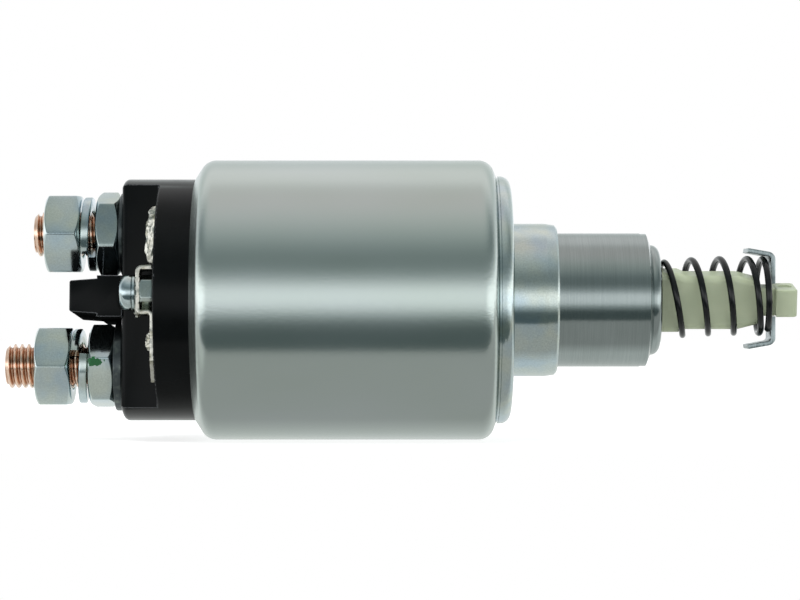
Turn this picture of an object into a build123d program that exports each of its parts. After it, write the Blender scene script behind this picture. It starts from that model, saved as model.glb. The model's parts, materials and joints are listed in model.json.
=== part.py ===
from build123d import *
import os
from math import cos, hypot, radians, sin, tan

# A starter solenoid, in millimetres. +X runs along the axis towards the tip of the pull rod, +Z is up,
# and the side with the control terminal faces -Y. The origin is the centre of the mounting face.
# Lengths along X are chained from that face, so that a changed length moves what is stacked on it.

# Running clearances, each measured on the radius or along the axis
SLIDE_FIT = 0.08
PRESS_FIT = 0.02
LOOSE_FIT = 0.25
REST_GAP = 0.15

# Housing can: a drawn steel cup whose open rear end is rolled over the cap
CAN_OUTER_R = 31.25
CAN_WALL = 2.75
CAN_LENGTH = 66.8
CAN_FRONT_RIM = 3.55
CAN_FRONT_BEVEL = 1.3
CAN_REAR_BEVEL = 2.6
CAN_EDGE_R = 3.5
CAN_REAR_RECESS = 0.4
CAN_LIP_GAP = 0.2

# Front plate: the magnetic end plate, with its mounting face and locating neck
BOSS_HEIGHT = 3.3
BOSS_EDGE_R = 2.3
BOSS_GROOVE_DEPTH = 0.35
BOSS_GROOVE_WIDTH = 0.5
PLATE_FLANGE_THICKNESS = 4.0
NECK_WALL = 1.6
NECK_LENGTH = 10.3
NECK_TAPER_LENGTH = 2.6
NECK_TAPER_STEP = 0.3
NECK_CHAMFER = 0.5
MOUNT_SCREW_COUNT = 4
MOUNT_SCREW_CIRCLE_R = 22.5
MOUNT_SCREW_TAP_R = 2.5
MOUNT_SCREW_DEPTH = 7.5
MOUNT_SCREW_FIRST_ANGLE = 45.0

# Guide tube, in which the plunger slides
GUIDE_TUBE_WALL = 0.45
GUIDE_TUBE_END_SETBACK = 0.9

# Plunger, with the spring pocket at its nose and the chamber for the stem of the pull rod
PLUNGER_R = 14.95
PLUNGER_REACH = 33.3
PLUNGER_STROKE = 12.0
POLE_GAP_PULLED_IN = 0.3
NOSE_LENGTH = 2.0
NOSE_ROUND_R = 1.8
NOSE_CHAMFER_LENGTH = 1.0
NOSE_CHAMFER_HEIGHT = 2.65
NOSE_LINE_SETBACK = 4.4
NOSE_LINE_STEP = 0.12
SPRING_POCKET_GAP = 0.5
SPRING_POCKET_DEPTH = 12.4
SPRING_SEAT_WIDTH = 1.25
WEB_SETBACK = 24.4
WEB_THICKNESS = 4.0
STEM_CHAMBER_GAP = 0.4
STEM_CHAMBER_LENGTH = 18.0
PLUG_THICKNESS = 4.0
PLUG_SHOULDER = 0.3

# Pull rod: a moulded nylon bar with a round stem, rolled a little about the axis
ROD_ROLL = 11.5
ROD_THICKNESS = 8.2
ROD_GUIDE_HEIGHT = 13.5
ROD_BAR_HEIGHT = 12.2
ROD_TAPER_HEIGHT = 9.8
ROD_EDGE_R = 1.6
ROD_TRAVEL = 6.0
ROD_STOP_GAP = 0.4
ROD_GUIDE_SHOWING = 4.3
ROD_STEP_LENGTH = 1.5
ROD_BAR_LENGTH = 11.7
ROD_TAPER_LENGTH = 4.7
ROD_NECK_LENGTH = 3.7
ROD_NECK_THICKNESS = 5.2
ROD_TIP_LENGTH = 4.8
ROD_TIP_HEIGHT = 6.2
ROD_TIP_THICKNESS = 8.4
ROD_TIP_ROUND_R = 1.0
ROD_TIP_EDGE_R = 0.4
ROD_TIP_DIMPLE_R = 1.6
ROD_TIP_DIMPLE_DEPTH = 0.35
ROD_STEM_R = 5.0
ROD_STEM_TAIL = 4.0
ROD_GROOVE_R = 4.1
ROD_GROOVE_WIDTH = 1.0
STOP_WASHER_R = 7.1
STOP_WASHER_THICKNESS = 1.2
CIRCLIP_R = 6.2
CIRCLIP_THICKNESS = 0.9
CIRCLIP_MOUTH = 5.0

# Spring retainer: a bent steel strip on the neck of the pull rod
RETAINER_SHEET = 1.0
RETAINER_WIDTH = 8.4
RETAINER_EAR_LENGTH = 6.1
RETAINER_EAR_FLARE = 10.0
RETAINER_BEND_R = 1.3
RETAINER_TOP_GAP = 0.75
RETAINER_LOW_GAP = 0.1

# Spring wire is drawn with this many flats, to keep the coils light
SPRING_WIRE_SIDES = 6

# Lost-motion spring between the plunger and the retainer
LOST_SPRING_GAP = 0.325
LOST_SPRING_WIRE = 1.2
LOST_SPRING_TURNS = 6

# Coil: a moulded bobbin with two layers of winding, which share the room between bobbin and can
BOBBIN_WALL = 1.3
BOBBIN_FLANGE_THICKNESS = 1.8
BOBBIN_GAP = 0.3
COIL_GAP = 2.44
PULL_IN_SHARE = 0.4565

# Fixed core, with the pole that the plunger is pulled on to
CORE_FLANGE_THICKNESS = 6.0
CORE_POLE_LENGTH = 12.0
CORE_FRONT_POCKET_DEPTH = 4.5
CORE_REAR_POCKET_R = 7.2
CORE_REAR_POCKET_DEPTH = 8.0
CORE_NOTCH_R = 2.0
GASKET_THICKNESS = 1.0
GASKET_WIDTH = 4.05

# Return spring between the plunger and the fixed core
RETURN_SPRING_GAP = 0.5
RETURN_SPRING_WIRE = 1.3
RETURN_SPRING_TURNS = 5

# Switch pin, contact bridge and the springs on the pin
PIN_R = 2.5
PIN_TRAVEL = 4.0
PIN_CHAMFER = 0.6
COLLAR_R = 5.6
COLLAR_THICKNESS = 1.2
PIN_TAIL = 1.2
CONTACT_GAP = 3.0
CONTACT_REST_GAP = 0.1
BRIDGE_THICKNESS = 2.5
BRIDGE_END_GAP = 3.0
BRIDGE_WIDTH = 15.0
BRIDGE_CORNER_R = 4.0
BUSH_SLEEVE_R = 4.0
BUSH_FLANGE_R = 6.6
BUSH_FLANGE_THICKNESS = 1.2
REAR_WASHER_R = 5.9
REAR_WASHER_THICKNESS = 1.0
PIN_CLIP_R = 4.5
PIN_CLIP_THICKNESS = 0.8
PIN_CLIP_MOUTH = 3.2
PIN_GROOVE_R = 1.9
PRESSURE_SPRING_R = 5.4
PRESSURE_SPRING_WIRE = 1.1
PRESSURE_SPRING_TURNS = 3
SWITCH_SPRING_R = 4.6
SWITCH_SPRING_WIRE = 0.9
SWITCH_SPRING_TURNS = 4

# Switch cap: a phenolic moulding, turned a little about the axis with everything that it carries
CAP_TURN = -4.8
CAP_SETBACK = 1.5
CAP_SHOULDER_THICKNESS = 7.2
CAP_SHOWING = 7.8
SHELF_EDGE_R = 0.4
CAP_WALL = 4.0
CAP_CAVITY_DEPTH = 11.0
CAP_SPRING_POCKET_DEPTH = 5.5
PLATFORM_HEIGHT = 8.1
PLATFORM_MARGIN = 1.0
PLATFORM_EDGE_R = 1.2
RIB_HEIGHT = 11.5
RIB_ROOT_HEIGHT = 5.4
RIB_NUT_GAP = 1.135
RIB_DRAFT = 0.45
RIB_BACK_Y = 14.0
RIB_EDGE_R = 0.6

# Terminal studs and their fasteners
STUD_R = 4.95
STUD_WALL_GAP = 0.8
STUD_SPRING_GAP = 2.8
STUD_HEAD_THICKNESS = 4.0
STUD_CHAMFER = 0.9
UPPER_STUD_HEIGHT = 20.3
LOWER_STUD_HEIGHT = 26.4
NUT_FLATS = 17.0
NUT_THICKNESS = 8.0
NUT_FACE_INSET = 0.45
NUT_CHAMFER_ANGLE = 30.0
UPPER_LOCK_NUT_THICKNESS = 5.3
LOWER_LOCK_NUT_THICKNESS = 5.8
UPPER_WASHER_R = 9.2
UPPER_WASHER_THICKNESS = 1.0
LOWER_WASHER_R = 10.0
LOWER_WASHER_THICKNESS = 1.9
SPRING_WASHER_R = 8.3
SPRING_WASHER_THICKNESS = 1.8
SPRING_WASHER_SWEEP = 0.985
UPPER_SPRING_WASHER_HEIGHT = 3.4
LOWER_SPRING_WASHER_HEIGHT = 3.9
UPPER_NUT_TURN = 0.0
UPPER_LOCK_NUT_TURN = 43.4
LOWER_NUT_TURN = 0.0
LOWER_LOCK_NUT_TURN = 11.6
UPPER_SPLIT_TURN = -36.0
LOWER_SPLIT_TURN = 24.0

# Control terminal, on the shelf beside the platform
CONTROL_INSET = 0.5
CONTROL_SCREW_R = 1.95
CONTROL_SCREW_BITE = 4.6
CONTROL_HEAD_R = 3.95
CONTROL_HEAD_THICKNESS = 2.9
CONTROL_HEAD_CROWN_R = 1.6
CONTROL_NUT_FLATS = 7.0
CONTROL_NUT_THICKNESS = 3.2
CONTROL_NUT_FACE_INSET = 0.15
CONTROL_WASHER_R = 3.9
CONTROL_WASHER_THICKNESS = 0.8
STRAP_SHEET = 0.9
STRAP_WIDTH = 5.6
STRAP_TOP_REACH = 5.4
STRAP_DROP = 4.4
STRAP_TAIL_REACH = 19.4
STRAP_BEND_R = 0.9

# Winding leads and the soldered lugs that they end in
LEAD_R = 0.75
LEAD_SETBACK = 3.6
LEAD_STRAP_OFFSET = 3.9
LOWER_LEAD_DROP = 5.8
UPPER_LUG_LENGTH = 13.4
UPPER_LUG_WIDTH = 4.6
UPPER_LUG_HEIGHT = 2.7
LOWER_LUG_LENGTH = 4.6
LOWER_LUG_WIDTH = 4.0
LOWER_LUG_HEIGHT = 1.5
LUG_EDGE_R = 0.85

# Places along the axis
can_front_x = -BOSS_HEIGHT
can_rear_x = can_front_x - CAN_LENGTH
plate_flange_front_x = can_front_x - CAN_WALL
plate_flange_rear_x = plate_flange_front_x - PLATE_FLANGE_THICKNESS
lip_inner_x = can_rear_x + CAN_WALL
cap_front_x = lip_inner_x + CAP_SHOULDER_THICKNESS
core_rear_x = cap_front_x + GASKET_THICKNESS
core_flange_front_x = core_rear_x + CORE_FLANGE_THICKNESS
core_pole_x = core_flange_front_x + CORE_POLE_LENGTH
plunger_rear_x = core_pole_x + POLE_GAP_PULLED_IN + PLUNGER_STROKE
spring_seat_x = PLUNGER_REACH - SPRING_POCKET_DEPTH
web_front_x = PLUNGER_REACH - WEB_SETBACK
web_rear_x = web_front_x - WEB_THICKNESS
plug_front_x = web_rear_x - STEM_CHAMBER_LENGTH
plug_rear_x = plug_front_x - PLUG_THICKNESS
rod_step_x = PLUNGER_REACH + ROD_GUIDE_SHOWING
rod_bar_x = rod_step_x + ROD_STEP_LENGTH
rod_taper_x = rod_bar_x + ROD_BAR_LENGTH
rod_neck_x = rod_taper_x + ROD_TAPER_LENGTH
rod_tip_x = rod_neck_x + ROD_NECK_LENGTH
stop_washer_x = web_rear_x - REST_GAP
shelf_x = can_rear_x - CAP_SHOWING
platform_x = shelf_x - PLATFORM_HEIGHT
cavity_floor_x = cap_front_x - CAP_CAVITY_DEPTH
stud_contact_x = cavity_floor_x + STUD_HEAD_THICKNESS
bridge_rear_x = stud_contact_x + CONTACT_REST_GAP + CONTACT_GAP
bridge_front_x = bridge_rear_x + BRIDGE_THICKNESS
bush_front_x = bridge_front_x + BUSH_FLANGE_THICKNESS
rear_pocket_floor_x = core_rear_x + CORE_REAR_POCKET_DEPTH
collar_front_x = rear_pocket_floor_x - REST_GAP
collar_rear_x = collar_front_x - COLLAR_THICKNESS
clip_front_x = bridge_rear_x - REAR_WASHER_THICKNESS - REST_GAP
clip_rear_x = clip_front_x - PIN_CLIP_THICKNESS
pin_front_x = plug_rear_x - PLUNGER_STROKE + PIN_TRAVEL - CONTACT_REST_GAP
pin_rear_x = clip_rear_x - PIN_TAIL
front_pocket_floor_x = core_pole_x - CORE_FRONT_POCKET_DEPTH
spring_pocket_floor_x = cavity_floor_x - CAP_SPRING_POCKET_DEPTH

# Radii of the can, the boss and the cap, from the outside inwards
can_inner_r = CAN_OUTER_R - CAN_WALL
can_recess_r = can_inner_r + CAN_REAR_RECESS
boss_r = CAN_OUTER_R - CAN_FRONT_RIM
cap_r = can_inner_r - CAP_SETBACK
can_lip_r = cap_r + CAN_LIP_GAP
cap_cavity_r = cap_r - CAP_WALL

# Radii round the plunger, from the inside outwards
rod_corner_r = hypot(ROD_GUIDE_HEIGHT / 2 - ROD_EDGE_R, ROD_THICKNESS / 2 - ROD_EDGE_R) + ROD_EDGE_R
lost_spring_r = rod_corner_r + LOST_SPRING_GAP + LOST_SPRING_WIRE
spring_pocket_r = lost_spring_r + SPRING_POCKET_GAP
rod_bore_r = spring_pocket_r - SPRING_SEAT_WIDTH
nose_shoulder_r = PLUNGER_R - NOSE_CHAMFER_HEIGHT
stem_chamber_r = STOP_WASHER_R + STEM_CHAMBER_GAP
rear_pocket_r = stem_chamber_r + PLUG_SHOULDER
return_spring_r = rear_pocket_r - RETURN_SPRING_GAP
tube_inner_r = PLUNGER_R + SLIDE_FIT
tube_outer_r = tube_inner_r + GUIDE_TUBE_WALL
neck_bore_r = tube_outer_r + PRESS_FIT
neck_r = neck_bore_r + NECK_WALL
neck_end_r = neck_r - NECK_TAPER_STEP
bobbin_inner_r = tube_outer_r + SLIDE_FIT
bobbin_outer_r = bobbin_inner_r + BOBBIN_WALL
hold_in_r = can_inner_r - COIL_GAP
pull_in_r = bobbin_outer_r + PULL_IN_SHARE * (hold_in_r - bobbin_outer_r)
bobbin_flange_r = can_inner_r - BOBBIN_GAP

# Places across the axis: each stud's head lies midway between the cap's wall and the spring on the pin
stud_wall_r = cap_cavity_r - STUD_WALL_GAP
stud_spring_r = SWITCH_SPRING_R + STUD_SPRING_GAP
stud_z = (stud_wall_r + stud_spring_r) / 2
stud_head_r = (stud_wall_r - stud_spring_r) / 2
nut_corner_r = NUT_FLATS / 2 / cos(radians(30))
rib_width = 2 * (stud_z - nut_corner_r - RIB_NUT_GAP)
rib_tip_width = rib_width - 2 * RIB_DRAFT
rib_root_width = 2 * (stud_z - LOWER_WASHER_R - LOOSE_FIT)
bridge_length = 2 * (cap_cavity_r - BRIDGE_END_GAP)
platform_flat_y = -(LOWER_WASHER_R + PLATFORM_MARGIN)
control_y = (platform_flat_y - cap_r) / 2 + CONTROL_INSET
upper_lead_y = platform_flat_y - LEAD_SETBACK
lower_lead_y = control_y + LEAD_STRAP_OFFSET

# Places of the winding leads, which come up through the shelf beside the two ends of the strap
upper_lead_z = STRAP_TOP_REACH + STRAP_SHEET / 2 + REST_GAP + UPPER_LUG_LENGTH / 2
lower_lead_z = -STRAP_DROP - LOWER_LEAD_DROP
upper_lead = (upper_lead_y, upper_lead_z)
lower_lead = (lower_lead_y, lower_lead_z)

# A match this close, in millimetres, counts as the same place
SAME = 0.001


def across(x, y=0, z=0):
    """The plane across the axis at x, its own first direction along +Y and its second along +Z."""
    return Plane(origin=(x, y, z), x_dir=(0, 1, 0), z_dir=(1, 0, 0))


def turned(outline):
    """A solid turned about the X axis from its closed outline of (x, radius) points."""
    profile = Plane.XZ * make_face(Polyline(*outline, close=True))
    return revolve(profile, Axis.X, 360)


def tube(x_low, x_high, outer_r, inner_r=0.0, y=0, z=0):
    """A disc, or a ring where it has a bore, between two places along the axis."""
    section = Circle(outer_r)
    if inner_r > 0:
        section = section - Circle(inner_r)
    return extrude(across(x_low, y, z) * section, x_high - x_low)


def rims(solid, x, radius):
    """The round edges of a solid that lie at x and have this radius."""
    circles = solid.edges().filter_by(GeomType.CIRCLE)
    at_x = circles.filter_by(lambda edge: abs(edge.center().X - x) < SAME)
    return at_x.filter_by(lambda edge: abs(edge.radius - radius) < SAME)


def coil_spring(x_low, x_high, outer_r, wire, turns, first_angle=0.0):
    """A round-wire compression spring about the axis, between two seats."""
    mean_r = outer_r - wire / 2
    rise = x_high - x_low - wire
    path = Edge.make_helix(pitch=rise / turns, height=rise, radius=mean_r)
    start = path @ 0
    section = Plane(origin=start, z_dir=path % 0) * RegularPolygon(wire / 2, SPRING_WIRE_SIDES)
    spring = sweep(section, path=path, is_frenet=True)
    upright = Plane(origin=(x_low + wire / 2, 0, 0), x_dir=(0, 0, 1), z_dir=(1, 0, 0))
    return Rot(first_angle, 0, 0) * (upright * spring)


def housing_can():
    """The drawn cup: bevelled front wall, stepped rear bore and a rear lip rolled in at a slant."""
    front_bore_r = boss_r + LOOSE_FIT / 2
    front_edge_x = can_front_x - CAN_FRONT_BEVEL
    rear_edge_x = can_rear_x + CAN_REAR_BEVEL
    can = turned([
        (can_front_x, front_bore_r),
        (front_edge_x, CAN_OUTER_R),
        (rear_edge_x, CAN_OUTER_R),
        (can_rear_x, can_lip_r),
        (lip_inner_x, can_lip_r),
        (lip_inner_x, can_recess_r),
        (core_flange_front_x, can_recess_r),
        (core_flange_front_x, can_inner_r),
        (plate_flange_front_x, can_inner_r),
        (plate_flange_front_x, front_bore_r),
    ])
    outer_rims = rims(can, front_edge_x, CAN_OUTER_R) + rims(can, rear_edge_x, CAN_OUTER_R)
    return fillet(outer_rims, CAN_EDGE_R)


def front_plate():
    """The end plate inside the can, its mounting boss and the neck that guides the plunger tube."""
    flange_r = can_inner_r - PRESS_FIT
    groove_x = can_front_x + BOSS_GROOVE_WIDTH
    groove_r = boss_r - BOSS_GROOVE_DEPTH
    neck_straight_x = NECK_LENGTH - NECK_TAPER_LENGTH
    lip_x = NECK_LENGTH - GUIDE_TUBE_END_SETBACK
    lip_r = tube_inner_r + LOOSE_FIT
    plate = turned([
        (plate_flange_rear_x, neck_bore_r),
        (plate_flange_rear_x, flange_r),
        (plate_flange_front_x, flange_r),
        (plate_flange_front_x, boss_r),
        (can_front_x, boss_r),
        (can_front_x, groove_r),
        (groove_x, groove_r),
        (groove_x, boss_r),
        (0, boss_r),
        (0, neck_r),
        (neck_straight_x, neck_r),
        (NECK_LENGTH - NECK_CHAMFER, neck_end_r),
        (NECK_LENGTH, neck_end_r - NECK_CHAMFER),
        (NECK_LENGTH, lip_r),
        (lip_x, lip_r),
        (lip_x, neck_bore_r),
    ])
    plate = fillet(rims(plate, 0, boss_r), BOSS_EDGE_R)
    for place in PolarLocations(MOUNT_SCREW_CIRCLE_R, MOUNT_SCREW_COUNT, MOUNT_SCREW_FIRST_ANGLE):
        y, z = place.position.X, place.position.Y
        plate = plate - tube(-MOUNT_SCREW_DEPTH, 0, MOUNT_SCREW_TAP_R, 0, y, z)
    return plate


def guide_tube():
    """The thin brass tube from the fixed core to the end of the neck."""
    tube_front_x = NECK_LENGTH - GUIDE_TUBE_END_SETBACK
    return tube(core_flange_front_x, tube_front_x, tube_outer_r, tube_inner_r)


def coil_bobbin():
    """The winding spool between the end plate and the fixed core."""
    rear_x = core_flange_front_x
    front_x = plate_flange_rear_x
    rear_flange_x = rear_x + BOBBIN_FLANGE_THICKNESS
    front_flange_x = front_x - BOBBIN_FLANGE_THICKNESS
    bobbin = turned([
        (rear_x, bobbin_inner_r),
        (rear_x, bobbin_flange_r),
        (rear_flange_x, bobbin_flange_r),
        (rear_flange_x, bobbin_outer_r),
        (front_flange_x, bobbin_outer_r),
        (front_flange_x, bobbin_flange_r),
        (front_x, bobbin_flange_r),
        (front_x, bobbin_inner_r),
    ])
    return bobbin - lead_passages(rear_x, rear_flange_x)


def winding(inner_r, outer_r):
    """A layer of wire on the bobbin, between its flanges."""
    rear_x = core_flange_front_x + BOBBIN_FLANGE_THICKNESS
    front_x = plate_flange_rear_x - BOBBIN_FLANGE_THICKNESS
    return tube(rear_x, front_x, outer_r, inner_r)


def pull_in_winding():
    """The inner layer, of thick wire."""
    return winding(bobbin_outer_r, pull_in_r)


def hold_in_winding():
    """The outer layer, of thin wire, laid on the first."""
    return winding(pull_in_r, hold_in_r)


def lead_places():
    """Where the winding leads run, as (y, z) in the turned frame of the cap."""
    turn = radians(CAP_TURN)
    places = []
    for lead_y, lead_z in (upper_lead, lower_lead):
        y = lead_y * cos(turn) - lead_z * sin(turn)
        z = lead_y * sin(turn) + lead_z * cos(turn)
        places.append((y, z))
    return places


def lead_passages(x_low, x_high):
    """Round passages for the winding leads, between two places along the axis."""
    passages = [tube(x_low, x_high, CORE_NOTCH_R, 0, y, z) for y, z in lead_places()]
    return passages[0] + passages[1]


def fixed_core():
    """The rear end plate with its pole, pocketed for the return spring and the pressure spring."""
    flange_r = can_recess_r - PRESS_FIT
    pole_r = tube_inner_r - PRESS_FIT
    pin_bore_r = PIN_R + SLIDE_FIT
    front_pocket_r = return_spring_r + LOOSE_FIT
    core = turned([
        (core_rear_x, CORE_REAR_POCKET_R),
        (core_rear_x, flange_r),
        (core_flange_front_x, flange_r),
        (core_flange_front_x, pole_r),
        (core_pole_x, pole_r),
        (core_pole_x, front_pocket_r),
        (front_pocket_floor_x, front_pocket_r),
        (front_pocket_floor_x, pin_bore_r),
        (rear_pocket_floor_x, pin_bore_r),
        (rear_pocket_floor_x, CORE_REAR_POCKET_R),
    ])
    return core - lead_passages(core_rear_x, core_flange_front_x)


def cap_gasket():
    """The rubber ring between the fixed core and the cap."""
    outer_r = can_recess_r - LOOSE_FIT
    return tube(cap_front_x, core_rear_x, outer_r, outer_r - GASKET_WIDTH)


def plunger():
    """The soft-iron plunger: rounded open nose, stepped bore and rear pocket."""
    nose_x = PLUNGER_REACH
    shoulder_x = nose_x - NOSE_LENGTH
    line_x = nose_x - NOSE_LINE_SETBACK
    body = turned([
        (plunger_rear_x, rear_pocket_r),
        (plunger_rear_x, PLUNGER_R),
        (line_x, PLUNGER_R),
        (line_x, PLUNGER_R - NOSE_LINE_STEP),
        (shoulder_x - NOSE_CHAMFER_LENGTH, PLUNGER_R - NOSE_LINE_STEP),
        (shoulder_x, nose_shoulder_r),
        (nose_x, nose_shoulder_r),
        (nose_x, spring_pocket_r),
        (spring_seat_x, spring_pocket_r),
        (spring_seat_x, rod_bore_r),
        (web_front_x, rod_bore_r),
        (web_front_x, ROD_STEM_R + LOOSE_FIT),
        (web_rear_x, ROD_STEM_R + LOOSE_FIT),
        (web_rear_x, stem_chamber_r),
        (plug_front_x, stem_chamber_r),
        (plug_front_x, rear_pocket_r),
    ])
    nose_wall = nose_shoulder_r - spring_pocket_r
    return fillet(rims(body, nose_x, nose_shoulder_r), min(NOSE_ROUND_R, 0.9 * nose_wall))


def plunger_plug():
    """The disc pressed into the plunger, which the return spring and the switch pin bear on."""
    return tube(plug_rear_x, plug_front_x, rear_pocket_r - PRESS_FIT)


def return_spring():
    """The spring that pushes the plunger back out of the can."""
    return coil_spring(front_pocket_floor_x, plug_rear_x, return_spring_r, RETURN_SPRING_WIRE,
                       RETURN_SPRING_TURNS)


def rolled(solid):
    """A piece of the pull rod, rolled about the axis as the rod lies."""
    return Rot(ROD_ROLL, 0, 0) * solid


def flat_bar(outline, thickness):
    """A flat piece from its closed (x, z) outline, with this thickness either side of the axis."""
    side = Plane.XZ * make_face(Polyline(*outline, close=True))
    return extrude(side, thickness / 2, both=True)


def pull_rod():
    """The nylon rod: stem, guide, tapered bar, neck and tip block."""
    guide_x = web_front_x + ROD_TRAVEL + ROD_STOP_GAP
    groove_front_x = stop_washer_x - STOP_WASHER_THICKNESS
    groove_rear_x = groove_front_x - ROD_GROOVE_WIDTH
    stem_end_x = groove_rear_x - ROD_STEM_TAIL + ROD_GROOVE_WIDTH
    bar = flat_bar([
        (guide_x, -ROD_GUIDE_HEIGHT / 2),
        (rod_step_x, -ROD_GUIDE_HEIGHT / 2),
        (rod_bar_x, -ROD_BAR_HEIGHT / 2),
        (rod_taper_x, -ROD_BAR_HEIGHT / 2),
        (rod_neck_x, -ROD_TAPER_HEIGHT / 2),
        (rod_neck_x, ROD_TAPER_HEIGHT / 2),
        (rod_taper_x, ROD_BAR_HEIGHT / 2),
        (rod_bar_x, ROD_BAR_HEIGHT / 2),
        (rod_step_x, ROD_GUIDE_HEIGHT / 2),
        (guide_x, ROD_GUIDE_HEIGHT / 2),
    ], ROD_THICKNESS)
    long_edges = bar.edges().filter_by(lambda edge: abs((edge % 0.5).X) > 0.5)
    bar = fillet(long_edges, ROD_EDGE_R)
    neck_plane = across(rod_neck_x)
    neck = extrude(neck_plane * Rectangle(ROD_NECK_THICKNESS, ROD_TIP_HEIGHT), ROD_NECK_LENGTH)
    stem = turned([
        (stem_end_x, 0),
        (stem_end_x, ROD_STEM_R),
        (groove_rear_x, ROD_STEM_R),
        (groove_rear_x, ROD_GROOVE_R),
        (groove_front_x, ROD_GROOVE_R),
        (groove_front_x, ROD_STEM_R),
        (guide_x, ROD_STEM_R),
        (guide_x, 0),
    ])
    return rolled(bar + neck + rod_tip() + stem)


def rod_tip():
    """The block that the shift lever pulls on, round-cornered in plan, with a moulding dimple on top."""
    middle_x = rod_tip_x + ROD_TIP_LENGTH / 2
    plan = Rectangle(ROD_TIP_LENGTH, ROD_TIP_THICKNESS)
    far_corners = plan.vertices().sort_by(Axis.X)[-2:]
    plan = fillet(far_corners, ROD_TIP_ROUND_R)
    block = extrude(Pos(middle_x, 0, -ROD_TIP_HEIGHT / 2) * plan, ROD_TIP_HEIGHT)
    end_faces = block.faces().filter_by(Axis.Z)
    block = fillet(end_faces.edges(), ROD_TIP_EDGE_R)
    dimple_z = ROD_TIP_HEIGHT / 2 - ROD_TIP_DIMPLE_DEPTH
    dimple = extrude(Pos(middle_x, 0, dimple_z) * Circle(ROD_TIP_DIMPLE_R), ROD_TIP_DIMPLE_DEPTH)
    return block - dimple


def rod_stop_washer():
    """The washer on the stem that stops against the web of the plunger."""
    x_low = stop_washer_x - STOP_WASHER_THICKNESS
    return tube(x_low, stop_washer_x, STOP_WASHER_R, ROD_STEM_R + SLIDE_FIT)


def open_ring(x_low, thickness, outer_r, inner_r, mouth):
    """A flat snap ring with a mouth of this width, open towards +Z."""
    ring = tube(x_low, x_low + thickness, outer_r, inner_r)
    slot = Pos(0, outer_r / 2) * Rectangle(mouth, outer_r)
    return ring - extrude(across(x_low) * slot, thickness)


def rod_circlip():
    """The snap ring in the groove of the stem."""
    x_low = stop_washer_x - STOP_WASHER_THICKNESS - CIRCLIP_THICKNESS
    return open_ring(x_low, CIRCLIP_THICKNESS, CIRCLIP_R, ROD_GROOVE_R + PRESS_FIT, CIRCLIP_MOUTH)


def spring_retainer():
    """The bent strip that holds the spring: a slotted plate with two ears folded back over the coils."""
    plate_front_x = rod_tip_x - REST_GAP
    middle_x = plate_front_x - RETAINER_SHEET / 2
    top_z = lost_spring_r + RETAINER_TOP_GAP + RETAINER_SHEET / 2
    low_z = -(lost_spring_r + RETAINER_LOW_GAP + RETAINER_SHEET / 2)
    ear_run = RETAINER_EAR_LENGTH - RETAINER_SHEET / 2
    ear_x = middle_x - ear_run
    ear_rise = ear_run * tan(radians(RETAINER_EAR_FLARE))
    path = FilletPolyline(
        (ear_x, low_z - ear_rise), (middle_x, low_z), (middle_x, top_z), (ear_x, top_z + ear_rise),
        radius=RETAINER_BEND_R)
    strip = extrude(Plane.XZ * trace(path, RETAINER_SHEET), RETAINER_WIDTH / 2, both=True)
    turn = radians(ROD_ROLL)
    slot_height = ROD_TIP_HEIGHT * cos(turn) + ROD_NECK_THICKNESS * sin(turn) + 2 * SLIDE_FIT
    slot_depth = ROD_NECK_THICKNESS * cos(turn) + ROD_TIP_HEIGHT * sin(turn) + 2 * SLIDE_FIT
    slot_y = RETAINER_WIDTH / 2 - slot_depth / 2
    slot = Pos(slot_y, 0) * Rectangle(RETAINER_WIDTH, slot_height)
    cut = extrude(across(middle_x - RETAINER_SHEET) * slot, 2 * RETAINER_SHEET)
    return strip - cut


def lost_motion_spring():
    """The spring round the pull rod, from its seat in the plunger to the retainer."""
    retainer_x = rod_tip_x - REST_GAP - RETAINER_SHEET
    return coil_spring(spring_seat_x, retainer_x, lost_spring_r, LOST_SPRING_WIRE, LOST_SPRING_TURNS)


def switch_pin():
    """The pin that the plunger pushes, with its collar and the groove for its clip."""
    return turned([
        (pin_rear_x, 0),
        (pin_rear_x, PIN_R - PIN_CHAMFER),
        (pin_rear_x + PIN_CHAMFER, PIN_R),
        (clip_rear_x, PIN_R),
        (clip_rear_x, PIN_GROOVE_R),
        (clip_front_x, PIN_GROOVE_R),
        (clip_front_x, PIN_R),
        (collar_rear_x, PIN_R),
        (collar_rear_x, COLLAR_R),
        (collar_front_x, COLLAR_R),
        (collar_front_x, PIN_R),
        (pin_front_x - PIN_CHAMFER, PIN_R),
        (pin_front_x, PIN_R - PIN_CHAMFER),
        (pin_front_x, 0),
    ])


def contact_bridge():
    """The copper bar that joins the two studs when it reaches them."""
    bar = RectangleRounded(BRIDGE_WIDTH, bridge_length, BRIDGE_CORNER_R)
    bar = bar - Circle(BUSH_SLEEVE_R + PRESS_FIT)
    return cap_turned(extrude(across(bridge_rear_x) * bar, BRIDGE_THICKNESS))


def bridge_bush():
    """The flanged insulating bush between the bridge and the pin."""
    sleeve = tube(bridge_rear_x, bridge_front_x, BUSH_SLEEVE_R, PIN_R + SLIDE_FIT)
    return sleeve + tube(bridge_front_x, bush_front_x, BUSH_FLANGE_R, PIN_R + SLIDE_FIT)


def bridge_rear_washer():
    """The insulating washer behind the bridge."""
    x_low = bridge_rear_x - REAR_WASHER_THICKNESS
    return tube(x_low, bridge_rear_x, REAR_WASHER_R, PIN_R + SLIDE_FIT)


def pin_clip():
    """The snap ring that keeps the bridge on the pin."""
    return open_ring(clip_rear_x, PIN_CLIP_THICKNESS, PIN_CLIP_R, PIN_GROOVE_R + PRESS_FIT,
                     PIN_CLIP_MOUTH)


def contact_pressure_spring():
    """The spring that presses the bridge on to the studs once it has met them."""
    return coil_spring(bush_front_x, collar_rear_x, PRESSURE_SPRING_R, PRESSURE_SPRING_WIRE,
                       PRESSURE_SPRING_TURNS)


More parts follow.
